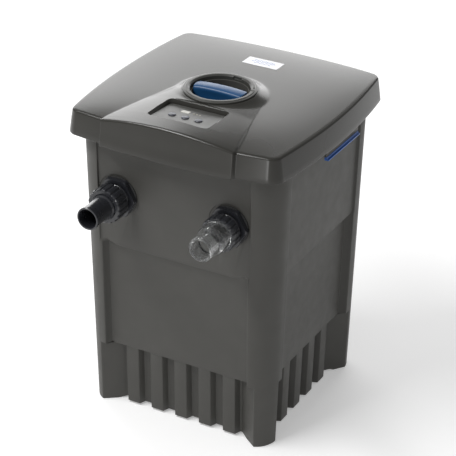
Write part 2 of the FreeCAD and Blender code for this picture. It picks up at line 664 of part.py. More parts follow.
def make_lid():
    wall = d.wall
    low, edge = d.skirt_bottom, d.lid_edge
    outside = lid_block("lid_block", 0, low, edge, d.lid_round)
    crown = cone("lid_crown_cone", 178, 130, "lid_crown - lid_edge", at(0, 0, edge))
    nose = nose_block("nose_block", 0, low)
    well_boss = cone("well_boss", 78, "ring_radius", "nose_crown - 1.5 - 503", at(0, d.well_y, 503))
    solid = fuse("lid_solid", [outside, crown, nose, well_boss])

    roof = lid_block("lid_room", -wall, low - 2, edge - wall, d.lid_round - wall)
    nose_room = nose_block("nose_room", wall, low - 2)
    hollow = cut("lid_hollow", solid, fuse("lid_rooms", [roof, nose_room]))

    channel = cut("seal_channel", tapered_block("channel_outer", 165, 35, 478, edge - wall + 0.5, 0),
                  tapered_block("channel_inner", 153, 28, 477, edge, 0))
    sleeve = cylinder("well_sleeve", "well_bore + 6.2", 34, at(0, d.well_y, 478))
    pocket = box("panel_pocket_floor", "panel_long + 6", "panel_deep + 6", 3, Vector())
    pocket.Placement = panel_frame(-d.panel_long / 2 - 3, -3, -FASCIA - 3 - 1)
    keepers = []
    for side in (1, -1):
        x = 172.0 if side > 0 else -186.0
        keepers.append(box(f"latch_keeper_{side}", 14, "latch_length - 20", 3,
                           Vector(x, d.latch_start + 10, 466)))
    built = fuse("lid_built", [hollow, channel, sleeve, pocket] + keepers)
    trimmed = doc.addObject("Part::Common", "lid_trimmed")
    trimmed.Base = built
    trimmed.Tool = fuse("lid_limit", [lid_block("lid_limit_block", 0, low, 530, d.lid_round),
                                      nose_block("nose_limit", 0, low)])

    window = box("panel_window", "panel_long", "panel_deep", 12, Vector())
    window.Placement = panel_frame(-d.panel_long / 2, 0, -FASCIA)
    cuts = [cylinder("well_hole", "well_bore + 3.2", 60, at(0, d.well_y, 470)), window]
    cuts.append(cylinder("ring_seat", "ring_radius", 10, at(0, d.well_y, d.ring_top - RING_THICK)))
    for index, x in enumerate(button_xs()):
        hole = cylinder(f"button_clear_{index}", "button_radius - 1.5", 14, Placement())
        hole.Placement = panel_frame(x, BUTTON_BACK, -12)
        cuts.append(hole)
    cuts.append(cylinder("gland_hole", GLAND_BARREL, 30, at(d.gland_x, d.gland_start - 6, d.gland_height, REAR)))
    cuts.append(box("label_bed", 60.4, 27.4, 3, Vector(-30.2, 96.3, d.lid_crown - 0.4)))
    node(cut("lid_shell", trimmed, fuse("lid_cuts", cuts)), "lid_shell")


def make_lid_fittings():
    ring_outer = tapered_block("seal_outer", 162.5, 34, d.tank_height + 0.3, 478, 0)
    ring_inner = tapered_block("seal_inner", 155.5, 29, d.tank_height - 1, 479, 0)
    node(cut("lid_seal", ring_outer, ring_inner), "lid_seal")

    label = box("blank_label_plate", 60, 27, 0.6, Vector(-30, 96.5, d.lid_crown - 0.4))
    node(label, "blank_label")

    seat = d.ring_top - RING_THICK
    profile = [
        (d.well_bore, 480), (d.well_bore + 3.2, 480), (d.well_bore + 3.2, seat), (d.ring_radius, seat),
        (d.ring_radius, seat + 2), (d.ring_radius - 1.5, d.ring_top), (d.well_bore + 1, d.ring_top),
        (d.well_bore, d.ring_top - 1),
    ]
    ring = revolved("lock_ring_turned", profile, at(0, d.well_y, 0))
    notches = []
    for index, angle in enumerate((20, 75)):
        place = Placement(Vector(0, d.well_y, 0), Rotation(UP, angle))
        notch = box(f"lock_mark_{index}", 5, 3, 2, Vector())
        notch.Placement = place.multiply(Placement(Vector(48, -1.5, d.ring_top - 0.6), Rotation()))
        notches.append(notch)
    node(cut("lock_ring", ring, fuse("lock_marks", notches)), "lock_ring")

    cap = 11.0
    nose = 21.0

    def along(distance):
        return at(d.gland_x, d.gland_start + distance, d.gland_height, REAR)

    body = fuse("gland_solid", [
        cylinder("gland_barrel", GLAND_BARREL, 16, along(0)),
        cylinder("gland_cap", 10.5, nose - cap, along(cap)),
        cone("gland_nose", 9.5, 7, 6, along(nose)),
    ])
    node(cut("cable_gland", body, cylinder("gland_bore", "cord_radius", 40, along(-5))), "cable_gland")


def make_electronics():
    """Fascia, display, lamps and board under the nose; ballast tray under the rear of the lid."""
    plate = box("fascia_plate", "panel_long - 0.6", "panel_deep - 0.6", FASCIA, Vector())
    plate.Placement = panel_frame(-d.panel_long / 2 + 0.3, 0.3, -FASCIA)
    cuts = []
    for index, x in enumerate(button_xs()):
        hole = cylinder(f"fascia_hole_{index}", "button_radius + 0.3", 8, Placement())
        hole.Placement = panel_frame(x, BUTTON_BACK, -5)
        cuts.append(hole)
    window = box("fascia_display_hole", 14, 9, 8, Vector())
    window.Placement = panel_frame(-18, 42, -5)
    cuts.append(window)
    led_xs = (3, 8, 13)
    for index, x in enumerate(led_xs):
        hole = cylinder(f"fascia_led_hole_{index}", 1.5, 8, Placement())
        hole.Placement = panel_frame(x, 46, -5)
        cuts.append(hole)
    node(cut("control_fascia", plate, fuse("fascia_cuts", cuts)), "control_fascia")

    display = box("display_glass", 14, 9, FASCIA - 0.2, Vector())
    display.Placement = panel_frame(-18, 42, -FASCIA)
    node(display, "display_window")

    lights = []
    for index, x in enumerate(led_xs):
        light = cylinder(f"status_light_{index}", 1.5, FASCIA + 0.3, Placement())
        light.Placement = panel_frame(x, 46, -FASCIA)
        lights.append(light)
    node(fuse("status_lights", lights), "status_lights")

    board = box("control_board_plate", 90, 50, 1.6, Vector())
    board.Placement = panel_frame(-45, 6, -FASCIA - 12)
    node(board, "control_board")

    for index, x in enumerate(button_xs()):
        name = ("button_left", "button_middle", "button_right")[index]
        cap = cylinder(f"{name}_cap", "button_radius", 2.4, Placement())
        cap.Placement = panel_frame(x, BUTTON_BACK, -1.2)
        stem = cylinder(f"{name}_stem", "button_radius - 3", 8.2, Placement())
        stem.Placement = panel_frame(x, BUTTON_BACK, -9)
        node(fuse(name, [cap, stem]), name)

    tray_low = 479.0
    outer = box("tray_outer", 172, 70, 16.5, Vector(-86, 58, tray_low))
    room = box("tray_room", 144, 64, 16, Vector(-72, 61, tray_low + 3))
    places = [(x, y) for x in (-80, 80) for y in (66, 120)]
    holes = [cylinder(f"tray_hole_{i}", 2, 30, at(x, y, tray_low - 5)) for i, (x, y) in enumerate(places)]
    node(cut("ballast_tray", outer, fuse("tray_cuts", [room] + holes)), "ballast_tray")
    node(box("ballast_block", 120, 44, 10, Vector(-60, 71, tray_low + 3)), "lamp_ballast")
    screws = []
    for index, (x, y) in enumerate(places):
        head = cylinder(f"tray_screw_head_{index}", 4, 2.5, at(x, y, tray_low - 2.5))
        shank = cylinder(f"tray_screw_shank_{index}", 2, 16.4, at(x, y, tray_low))
        screws.append(fuse(f"tray_screw_{index}", [head, shank]))
    node(fuse("tray_screws", screws), "tray_screws")


# ---------------------------------------------------------------- lamp unit

def make_lamp_unit():
    """The twist-out unit: dark cup, blue bar handle, socket, lamp and quartz sleeve."""
    gap = 0.4
    cup_outer = d.well_bore - gap
    cup = [
        (0, 478), (30, 478), (30, 483), (cup_outer, 483), (cup_outer, 511), (cup_outer - 2.5, 511),
        (cup_outer - 2.5, 487), (0, 487),
    ]
    node(revolved("lamp_cup", cup, at(0, d.well_y, 0)), "lamp_cup")

    web = box("handle_web", 90, 24, "ring_top - 487", Vector(-45, d.well_y - 12, 487))
    round_limit = cylinder("handle_round", cup_outer - 2.5, 40, at(0, d.well_y, 480))
    handle = doc.addObject("Part::Common", "handle_trimmed")
    handle.Base = web
    handle.Tool = round_limit
    doc.recompute()
    top_edges = []
    for index, edge in enumerate(handle.Shape.Edges, start=1):
        bounds = edge.BoundBox
        if bounds.ZMin > d.ring_top - 0.5 and bounds.XLength > 40:
            top_edges.append((index, 3.0, 3.0))
    rounded = doc.addObject("Part::Fillet", "handle_rounded")
    rounded.Base = handle
    rounded.Edges = top_edges
    node(rounded, "twist_handle")

    socket = [(0, 452), (24.5, 452), (24.5, 470), (30, 470), (30, 478), (0, 478)]
    node(revolved("lamp_socket", socket, at(0, d.well_y, 0)), "lamp_socket")
    sleeve_top = 452.0
    rim = d.sleeve_radius
    sleeve = [
        (0, d.sleeve_bottom), (rim - 4, d.sleeve_bottom), (rim, d.sleeve_bottom + 4), (rim, sleeve_top),
        (rim - 2, sleeve_top), (rim - 2, d.sleeve_bottom + 5), (0, d.sleeve_bottom + 2),
    ]
    node(revolved("quartz_sleeve", sleeve, at(0, d.well_y, 0)), "quartz_sleeve")
    legs = [cylinder(f"lamp_leg_{side}", 7.5, 210, at(side * 9, d.well_y, 242)) for side in (-1, 1)]
    bridge = cylinder("lamp_bridge", 5, 18, at(-9, d.well_y, 250, X_AXIS))
    node(fuse("uvc_lamp", legs + [bridge]), "uvc_lamp")
    node(torus("cup_sealing_ring", 26.8, 2.2, at(0, d.well_y, 467.7)), "cup_sealing_ring")


# ---------------------------------------------------------------- latches

def make_latches():
    """A sprung bar on each side that hooks the lid's skirt and opens when its lip is drawn outwards."""
    length = "latch_length"
    for name, side in (("latch_right", 1), ("latch_left", -1)):
        def strip(part, inner, outer, low, high, side=side, name=name):
            x = inner if side > 0 else -outer
            return box(f"{name}_{part}", outer - inner, length, high - low, Vector(x, d.latch_start, low))

        plate = strip("plate", 167.5, 170.5, 436, 471)
        lip = strip("lip", 167.5, 174.5, 433.5, 437)
        hook = strip("hook", 167.5, 171.6, 469.5, 472.5)
        barrel = cylinder(f"{name}_barrel", 3.6, length, at(169 * side, d.latch_start, d.latch_axis, REAR))
        hole = cylinder(f"{name}_pin_room", 2.05, length, at(169 * side, d.latch_start, d.latch_axis, REAR))
        node(cut(name, fuse(f"{name}_solid", [plate, lip, hook, barrel]), hole), name)
        pin = cylinder(f"{name}_pin_rod", 2, "latch_length + 8", at(169 * side, d.latch_start - 4, d.latch_axis, REAR))
        node(pin, f"{name}_pin")


# ---------------------------------------------------------------- build and check

make_tank()
make_fittings()
make_outlet()
make_filter_media()
make_waterways()
make_lamp_housing()
make_sludge_pump()
make_lid()
make_lid_fittings()
make_electronics()
make_lamp_unit()
make_latches()
doc.recompute()

for obj in doc.Objects:
    if "Invalid" in obj.State or "Error" in obj.State:
        raise RuntimeError(f"{obj.Name} failed: {obj.State}")
os.makedirs("parts", exist_ok=True)
for obj in nodes:
    shape = obj.Shape
    if shape.isNull() or not shape.isValid():
        raise RuntimeError(f"{obj.Label} has no valid shape")
    if shape.Volume <= 0 or not shape.Solids:
        raise RuntimeError(f"{obj.Label} is not a solid")
    shape.exportStep(f"parts/{obj.Label}.step")
    bounds = shape.BoundBox
    spans = f"x {bounds.XMin:.1f}..{bounds.XMax:.1f} y {bounds.YMin:.1f}..{bounds.YMax:.1f}"
    print(f"{obj.Label}: {len(shape.Solids)} solid(s), {shape.Volume / 1000:.1f} cm3, "
          f"{spans} z {bounds.ZMin:.1f}..{bounds.ZMax:.1f}")
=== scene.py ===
"""Looks of the box pond filter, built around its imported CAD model.

Lengths are millimetres in the CAD model's frame. Its origin is the middle of the footprint, on the floor.
-Y is the front with the hose fittings, +Y the rear with the outlet, and +Z is up. add() gives metres.
"""
import json
import math
from collections import namedtuple

import bmesh
import bpy
from mathutils import Matrix, Vector, noise


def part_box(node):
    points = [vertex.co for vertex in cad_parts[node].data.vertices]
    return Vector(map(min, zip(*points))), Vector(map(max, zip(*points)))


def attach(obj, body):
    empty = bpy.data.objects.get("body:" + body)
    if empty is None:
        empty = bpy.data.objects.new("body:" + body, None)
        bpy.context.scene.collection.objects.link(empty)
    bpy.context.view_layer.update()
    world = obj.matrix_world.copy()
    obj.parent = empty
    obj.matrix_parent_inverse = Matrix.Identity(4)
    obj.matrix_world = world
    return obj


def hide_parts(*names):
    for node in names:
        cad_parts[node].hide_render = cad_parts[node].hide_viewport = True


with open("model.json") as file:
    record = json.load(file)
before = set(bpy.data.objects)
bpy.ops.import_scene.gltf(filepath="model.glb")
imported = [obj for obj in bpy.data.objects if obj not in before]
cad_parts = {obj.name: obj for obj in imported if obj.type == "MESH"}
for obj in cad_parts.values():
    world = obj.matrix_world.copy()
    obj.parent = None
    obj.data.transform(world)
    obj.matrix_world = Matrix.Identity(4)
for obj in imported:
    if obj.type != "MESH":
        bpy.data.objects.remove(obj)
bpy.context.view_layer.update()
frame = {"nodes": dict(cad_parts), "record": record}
MM = 0.001
TURN = 2 * math.pi


def linked(name, data):
    """A new object in the scene's collection."""
    obj = bpy.data.objects.new(name, data)
    bpy.context.scene.collection.objects.link(obj)
    return obj


# ---------------- camera, light and floor

def make_camera():
    azimuth, elevation, roll = (math.radians(angle) for angle in (28.57, 28.56, 0.75))
    distance = 2.9806
    target = Vector((0, 0, 0.25))
    back = Vector((math.sin(azimuth) * math.cos(elevation), -math.cos(azimuth) * math.cos(elevation),
                   math.sin(elevation)))
    level_right = Vector((math.cos(azimuth), math.sin(azimuth), 0))
    level_up = back.cross(level_right)
    right = level_right * math.cos(roll) + level_up * math.sin(roll)
    up = level_up * math.cos(roll) - level_right * math.sin(roll)
    data = bpy.data.cameras.new("camera")
    data.sensor_width = 36
    data.lens = 152.1
    data.shift_x = 0.0034
    data.shift_y = 0.0257
    camera = linked("camera", data)
    axes = Matrix((right, up, back)).transposed().to_4x4()
    camera.matrix_world = Matrix.Translation(target + back * distance) @ axes
    bpy.context.scene.camera = camera


def area_light(name, place, target, size, power):
    data = bpy.data.lights.new(name, "AREA")
    data.shape = "RECTANGLE"
    data.size, data.size_y = size
    data.energy = power
    light = linked(name, data)
    place = Vector(place)
    aim = (Vector(target) - place).to_track_quat("-Z", "Y")
    light.matrix_world = Matrix.Translation(place) @ aim.to_matrix().to_4x4()


def make_studio():
    world = bpy.data.worlds.new("studio")
    world.use_nodes = True
    set_inputs(world.node_tree.nodes["Background"], {"Color": (1, 1, 1, 1), "Strength": 0.35})
    bpy.context.scene.world = world
    bpy.context.scene.view_settings.view_transform = "Standard"
    middle = (0, 0, 0.25)
    area_light("rear_screen", (-1.6, 2.7, 1.05), middle, (4.5, 2.1), 80)
    area_light("key", (-1.1, -1.2, 2.5), middle, (2.0, 0.3), 52)
    area_light("front_strip", (0.07, -1.9, 0.26), middle, (0.20, 0.5), 3)


def make_floor():
    bpy.ops.mesh.primitive_plane_add(size=14)
    floor = bpy.context.active_object
    floor.name = "floor"
    material = bpy.data.materials.new("floor_paper")
    material.use_nodes = True
    set_inputs(material.node_tree.nodes["Principled BSDF"],
               {"Base Color": (0.93, 0.93, 0.93, 1), "Roughness": 0.85,
                "Emission Color": (1, 1, 1, 1), "Emission Strength": 0.28})
    floor.data.materials.append(material)


# ---------------- materials

MATERIALS = {}


def set_inputs(node, values):
    for socket, value in values.items():
        node.inputs[socket].default_value = value


def moulded(name, colour, roughness, grain=0.05, grain_size=0.7, mottle=0.10, coat=0.0, metallic=0.0,
            sheen_patch=0.08, specular=0.5):
    """Moulded plastic: fine surface grain, faint mottling, and gloss that varies a little."""
    material = bpy.data.materials.new(name)
    material.use_nodes = True
    tree = material.node_tree
    link = tree.links.new
    shader = tree.nodes["Principled BSDF"]
    set_inputs(shader, {"Metallic": metallic, "Specular IOR Level": specular, "Coat Weight": coat,
                        "Coat Roughness": 0.12})
    coords = tree.nodes.new("ShaderNodeTexCoord")

    def speckle(scale, detail=3.0):
        texture = tree.nodes.new("ShaderNodeTexNoise")
        set_inputs(texture, {"Scale": scale, "Detail": detail})
        link(coords.outputs["Object"], texture.inputs["Vector"])
        return texture.outputs["Fac"]

    def remapped(source, low, high):
        scaled = tree.nodes.new("ShaderNodeMapRange")
        set_inputs(scaled, {"From Min": 0.3, "From Max": 0.7, "To Min": low, "To Max": high})
        link(source, scaled.inputs["Value"])
        return scaled.outputs["Result"]

    tint = tree.nodes.new("ShaderNodeMix")
    tint.data_type = "RGBA"
    darker = [channel * (1 - mottle) for channel in colour]
    lighter = [min(1, channel * (1 + mottle)) for channel in colour]
    set_inputs(tint, {"A": (*darker, 1), "B": (*lighter, 1)})
    link(remapped(speckle(28), 0, 1), tint.inputs["Factor"])
    link(tint.outputs["Result"], shader.inputs["Base Color"])
    gloss = remapped(speckle(60, 5), roughness * (1 - sheen_patch), roughness * (1 + sheen_patch))
    link(gloss, shader.inputs["Roughness"])
    bump = tree.nodes.new("ShaderNodeBump")
    set_inputs(bump, {"Strength": grain, "Distance": 0.0003})
    link(speckle(1 / (grain_size * MM), 2), bump.inputs["Height"])
    link(bump.outputs["Normal"], shader.inputs["Normal"])
    MATERIALS[name] = material
    return material


def see_through(name, colour, roughness, ior, cloud=0.0):
    """Clear plastic or glass with faint flow marks."""
    material = moulded(name, colour, roughness, grain=0.03, grain_size=6, mottle=0.02)
    set_inputs(material.node_tree.nodes["Principled BSDF"], {"Transmission Weight": 1.0 - cloud, "IOR": ior})


def foam(name, colour):
    """Open-cell filter foam: a coloured web with painted shade in its pores."""
    material = moulded(name, colour, 0.95, grain=0.6, grain_size=2.2, mottle=0.45)
    tree = material.node_tree
    link = tree.links.new
    shader = tree.nodes["Principled BSDF"]
    coords = next(n for n in tree.nodes if n.bl_idname == "ShaderNodeTexCoord")
    cells = tree.nodes.new("ShaderNodeTexVoronoi")
    cells.inputs["Scale"].default_value = 420
    link(coords.outputs["Object"], cells.inputs["Vector"])
    shade = tree.nodes.new("ShaderNodeMapRange")
    set_inputs(shade, {"From Max": 0.6, "To Min": 0.25})
    link(cells.outputs["Distance"], shade.inputs["Value"])
    # Painted shade in the pores, darkest in the middle of each cell.
    pore_shade = tree.nodes.new("ShaderNodeMix")
    pore_shade.data_type = "RGBA"
    pore_shade.blend_type = "MULTIPLY"
    pore_shade.inputs["Factor"].default_value = 1.0
    link(shader.inputs["Base Color"].links[0].from_socket, pore_shade.inputs["A"])
    link(shade.outputs["Result"], pore_shade.inputs["B"])
    link(pore_shade.outputs["Result"], shader.inputs["Base Color"])


def make_materials():
    moulded("tank_plastic", (0.062, 0.0606, 0.0555), 0.48, grain=0.10, grain_size=0.8, mottle=0.04,
            specular=0.26)
    moulded("lid_plastic", (0.031, 0.030, 0.026), 0.22, grain=0.0, mottle=0.04, sheen_patch=0.02,
            specular=0.35)
    moulded("ring_plastic", (0.056, 0.056, 0.051), 0.32, grain=0.0, mottle=0.04, specular=0.36)
    moulded("seal_rubber", (0.018, 0.018, 0.018), 0.7, grain=0.2)
    moulded("black_plastic", (0.020, 0.021, 0.025), 0.28, grain=0.02, coat=0.15)
    see_through("clear_plastic", (0.96, 0.97, 0.97), 0.03, 1.42, cloud=0.03)
    moulded("grey_plastic", (0.17, 0.17, 0.17), 0.45, grain=0.15)
    moulded("screw_steel", (0.55, 0.55, 0.55), 0.3, grain=0.08, metallic=1.0)
    foam("coarse_foam", (0.04, 0.11, 0.30))
    foam("fine_foam", (0.34, 0.05, 0.04))
    moulded("handle_blue", (0.012, 0.072, 0.19), 0.36, grain=0.0, mottle=0.04)
    moulded("latch_blue", (0.035, 0.12, 0.42), 0.33, grain=0.05)
    moulded("button_plastic", (0.085, 0.088, 0.105), 0.30, grain=0.0)
    moulded("label_white", (0.85, 0.86, 0.88), 0.35, grain=0.02, mottle=0.02)
    moulded("display_plastic", (0.30, 0.29, 0.24), 0.15, grain=0.0)
    moulded("light_lens", (0.38, 0.37, 0.30), 0.2, grain=0.02)
    moulded("board_green", (0.02, 0.13, 0.06), 0.4, grain=0.1)
    moulded("ballast_metal", (0.6, 0.6, 0.6), 0.35, grain=0.1, metallic=1.0)
    see_through("quartz", (0.96, 0.97, 1.0), 0.02, 1.46)
    see_through("lamp_glass", (0.85, 0.88, 0.95), 0.15, 1.5)


SLOTS = {row["node"]: row["material_slot"] for row in frame["record"]["subparts"]}
BODIES = {node: body for body, nodes in frame["record"]["behaviour"]["bodies"].items() for node in nodes}


# ---------------- mesh helpers

def span(node):
    """Lowest and highest corners of a CAD node, in millimetres."""
    low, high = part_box(node)
    return low / MM, high / MM


def middle_of(node):
    low, high = span(node)
    return (low + high) / 2


def add(name, shapes):
    """A mesh object in metres from one or more (points, faces), welded, with its normals outwards."""
    whole = bmesh.new()
    for points, faces in shapes:
        part = bpy.data.meshes.new("part")
        part.from_pydata([Vector(p) * MM for p in points], [], faces)
        work = bmesh.new()
        work.from_mesh(part)
        bmesh.ops.remove_doubles(work, verts=work.verts, dist=1e-6)
        bmesh.ops.dissolve_degenerate(work, edges=work.edges, dist=1e-6)
        bmesh.ops.recalc_face_normals(work, faces=work.faces)
        if work.calc_volume(signed=True) < 0:
            bmesh.ops.reverse_faces(work, faces=work.faces)
        work.to_mesh(part)
        work.free()
        whole.from_mesh(part)
        bpy.data.meshes.remove(part)
    return made_from(name, whole)


def made_from(name, work):
    """A new object from a bmesh, which it uses up."""
    mesh = bpy.data.meshes.new(name)
    work.to_mesh(mesh)
    work.free()
    return linked(name, mesh)


def bake(obj):
    """Swap an object's mesh for its modified one."""
    graph = bpy.context.evaluated_depsgraph_get()
    made = bpy.data.meshes.new_from_object(obj.evaluated_get(graph))
    obj.modifiers.clear()
    old = obj.data
    obj.data = made
    made.name = obj.name
    bpy.data.meshes.remove(old)


def round_edges(obj, width, segments, angle, clamp=True):
    """Round the edges that turn by more than the angle."""
    rounding = obj.modifiers.new("rounding", "BEVEL")
    rounding.width = width * MM
    rounding.segments = segments
    rounding.limit_method = "ANGLE"
    rounding.angle_limit = math.radians(angle)
    rounding.use_clamp_overlap = clamp
    bake(obj)


def carve(obj, shapes, operation="DIFFERENCE"):
    """Cut closed (points, faces) shapes out of an object, or join them on."""
    cutter = add("cutter", shapes)
    tool = obj.modifiers.new("carve", "BOOLEAN")
    tool.operation = operation
    tool.solver = "EXACT"
    tool.object = cutter
    bake(obj)
    bpy.data.objects.remove(cutter)


def belongs(obj, node, slot=None, angle=32):
    """The piece rides on a CAD node's body, with a slot's finish. Edges beyond the angle stay sharp."""
    obj.data.shade_smooth()
    obj.data.set_sharp_from_angle(angle=math.radians(angle))
    slot = slot or SLOTS[node]
    obj.data.materials.clear()
    obj.data.materials.append(MATERIALS[slot])
    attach(obj, BODIES[node])


def hand_over(obj, node, slot=None, angle=32):
    """The piece also takes the node's place."""
    belongs(obj, node, slot, angle)
    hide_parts(node)


def piece(name, node, shapes, angle=32):
    """A finished mesh in place of a CAD node."""
    hand_over(add(name, shapes), node, angle=angle)


def raised(points, height):
    """Points of a plan lifted to one height, or to the heights that a function of (x, y) gives."""
    return [Vector((p.x, p.y, height(p.x, p.y) if callable(height) else height)) for p in points]


def ramp(value, start, end):
    """0 up to the start, 1 from the end on, and straight between them."""
    return max(0.0, min(1.0, (value - start) / (end - start)))


def loft(rings, wrap=False):
    """Faces between rings with equally many points; wrap joins the last ring to the first."""
    count = len(rings[0])
    points = [point for ring in rings for point in ring]
    faces = []
    for row in range(len(rings) if wrap else len(rings) - 1):
        near = row * count
        far = (row + 1) % len(rings) * count
        for index in range(count):
            after = (index + 1) % count
            faces.append((near + index, near + after, far + after, far + index))
    if not wrap:
        last = (len(rings) - 1) * count
        faces.append(tuple(reversed(range(count))))
        faces.append(tuple(range(last, last + count)))
    return points, faces


def soften(outline, radius, steps=4):
    """A closed 2D outline with each corner rounded, by at most the radius."""
    rounded = []
    for index, point in enumerate(outline):
        here = Vector(point)
        before = Vector(outline[index - 1]) - here
        after = Vector(outline[(index + 1) % len(outline)]) - here
        if before.length < 1e-6 or after.length < 1e-6:
            continue
        angle = before.angle(after)
        if angle > math.radians(172) or here.x < 1e-6:
            rounded.append(here)
            continue
        reach = min(radius / math.tan(angle / 2), 0.45 * before.length, 0.45 * after.length)
        start = here + before.normalized() * reach
        end = here + after.normalized() * reach
        for step in range(steps + 1):
            share = step / steps
            rounded.append(start.lerp(here, share).lerp(here.lerp(end, share), share))
    return rounded


def facing(origin, axis):
    """A frame with its local Z along an axis."""
    return Matrix.Translation(origin) @ Vector(axis).to_track_quat("Z", "Y").to_matrix().to_4x4()


FRONT = (0, -1, 0)
REAR = (0, 1, 0)
UPWARD = (0, 0, 1)
UPRIGHT = Matrix(((1, 0, 0, 0), (0, 0, 1, 0), (0, 1, 0, 0), (0, 0, 0, 1)))


def turned(profile, origin, axis=UPWARD, round_by=0.6, segments=128, shape=None):
    """A lathe piece from a closed (radius, distance) profile. shape(angle, radius) bends its radius."""
    place = facing(origin, axis)
    rings = []
    for radius, distance in soften(profile, round_by) if round_by else profile:
        ring = []
        for index in range(segments):
            angle = TURN * index / segments
            reach = shape(angle, radius) if shape else radius
            ring.append(place @ Vector((reach * math.cos(angle), reach * math.sin(angle), distance)))
        rings.append(ring)
    return loft(rings, wrap=True)


def rounded_rectangle(half_x, half_y, corner, steps=8):
    """Points of a rectangle with round corners, anticlockwise from +X."""
    points = []
    for quarter in range(4):
        side_x = 1 if quarter in (0, 3) else -1
        side_y = 1 if quarter in (0, 1) else -1
        for step in range(steps + 1):
            angle = math.pi / 2 * (quarter + step / steps)
            points.append(Vector((side_x * (half_x - corner) + corner * math.cos(angle),
                                  side_y * (half_y - corner) + corner * math.sin(angle))))
    return points


def rounded_block(low, high, corner, edge, place=Matrix.Identity(4), steps=8):
    """A block between two corners, its upright edges and its rims rounded."""
    low, high = Vector(low), Vector(high)
    middle = (low + high) / 2
    half = (high - low) / 2
    edge_steps = 3
    levels = []
    for step in range(edge_steps + 1):
        angle = math.pi / 2 * step / edge_steps
        levels.append((edge * (1 - math.sin(angle)), low.z + edge * (1 - math.cos(angle))))
    levels += [(inset, low.z + high.z - height) for inset, height in reversed(levels)]
    rings = []
    for inset, height in levels:
        outline = rounded_rectangle(half.x - inset, half.y - inset, max(corner - inset, 0.05), steps)
        rings.append([place @ point for point in raised([middle.xy + p for p in outline], height)])
    return loft(rings)


def rod(start, end, radius, segments=48, rim=0.4):
    """A plain round bar between two points, its rims rounded."""
    start, end = Vector(start), Vector(end)
    length = (end - start).length
    profile = [(0, 0), (radius, 0), (radius, length), (0, length)]
    return turned(profile, start, end - start, rim, segments)


# ---------------- tank

FOOT_HALF = 155.7
RIM_HALF = 167.7
RIM_HEIGHT = 473.0
PILLAR_ROUND = 36.0
FLAT_HALF = FOOT_HALF - PILLAR_ROUND
FLOOR_GAP = 3.0
LOW_LEDGE = 107.0
MIDDLE_LEDGE = 289.0
RIB_DEPTH = 10.5
RIB_PITCH = 42.4
RIB_FACE_HALF = 10.5
RIB_ROOT_HALF = 14.6
WALL = 4.0
END_SLOPE = 7.0
SIDES = (("right", 1), ("left", -1))
EDGE_ROUNDING = 1.1
WALL_NEAR, WALL_FAR = 130, 180
PORT_HOLE = 21.2
GASKET_POCKET = 34.6
OUTLET_HOLE = 37.8
LATCH_POCKET = 2.7
TANK_SMOOTH = 40
INSIDE = ((157.9, 34, RIM_HEIGHT), (154.2, 34, MIDDLE_LEDGE + WALL), (143.0, 30, MIDDLE_LEDGE + WALL),
          (141.9, 30, LOW_LEDGE + WALL), (128.0, 22, LOW_LEDGE + WALL), (126.0, 22, FLOOR_GAP + WALL))


# The three steps of panels: how deep each lies, how its end walls flare, and half its width on each side.
Tier = namedtuple("Tier", "depth flare half")
LOW = Tier(25.7, 38.5 / 28, {"front": 103.0, "side": 86.0})
MIDDLE = Tier(12.0, 10.0 / 20, {"front": 118.0, "side": 104.5})
UPPER = Tier(3.5, 2.5 / 10, {"front": 127.0, "side": 112.0})
RIB_COUNT = {"front": 5, "side": 4}


def half_at(height):
    return FOOT_HALF + (RIM_HALF - FOOT_HALF) * height / RIM_HEIGHT


def pillar_path(height, distance):
    """A point on a pillar's outside, by its distance along it from the corner's middle: (along, out)."""
    radius = half_at(height) - FLAT_HALF
    arc = radius * math.pi / 4
    if distance <= arc:
        angle = math.pi / 4 + distance / radius
        return Vector((FLAT_HALF + radius * math.cos(angle), FLAT_HALF + radius * math.sin(angle)))
    return Vector((FLAT_HALF - (distance - arc), half_at(height)))


def panel_start(tier, side, height):
    """How far along a pillar the panel's end wall meets its outside."""
    radius = half_at(height) - FLAT_HALF
    arc = radius * math.pi / 4
    on_flat = tier.half[side] + tier.flare * tier.depth
    if on_flat <= FLAT_HALF:
        return arc + FLAT_HALF - on_flat
    lean = tier.flare
    shift = tier.half[side] - FLAT_HALF + lean * (tier.depth - radius)
    square = (lean * shift) ** 2 - (lean * lean + 1) * (shift * shift - radius * radius)
    rise = (-lean * shift + math.sqrt(square)) / (lean * lean + 1)
    return radius * (math.atan2(rise, shift + lean * rise) - math.pi / 4)


def half_side(tier, side, height):
    """From the corner's middle to the panel's middle, as (along, out) points of one tier."""
    marks = [panel_start(which, side, height) for which in (LOW, UPPER, MIDDLE)]
    counts = (14, 4, 1)
    own = panel_start(tier, side, height)
    depth_line = half_at(height) - tier.depth
    root = Vector((tier.half[side], depth_line))
    hit = pillar_path(height, own)
    points = []
    start = 0.0
    for mark, count in zip(marks, counts):
        for step in range(count):
            points.append(start + (mark - start) * step / count)
        start = mark
    points.append(start)
    last = points[-1]
    reach = MIDDLE.depth / LOW.depth if tier is LOW else 1.0
    outline = []
    for distance in points:
        if distance <= own + 1e-6:
            outline.append(pillar_path(height, distance))
        else:
            outline.append(hit.lerp(root, (distance - own) / (last - own) * reach))
    if tier is LOW:
        outline += [hit.lerp(root, 0.7 * reach + 0.3), root]
    else:
        crossing = MIDDLE.half[side] + MIDDLE.flare * (MIDDLE.depth - UPPER.depth)
        outline.append(Vector((crossing, half_at(height) - UPPER.depth)))
        outline.append(Vector((MIDDLE.half[side], depth_line)))
    count = RIB_COUNT[side]
    for index in reversed(range(count)):
        offset = (index - (count - 1) / 2) * RIB_PITCH
        if offset < -1:
            break
        rise = RIB_DEPTH if tier is LOW else 0.0
        outline.append(Vector((offset + RIB_ROOT_HALF, depth_line)))
        outline.append(Vector((offset + RIB_FACE_HALF, depth_line + rise)))
        if offset > 1:
            outline.append(Vector((offset - RIB_FACE_HALF, depth_line + rise)))
            outline.append(Vector((offset - RIB_ROOT_HALF, depth_line)))
    return outline


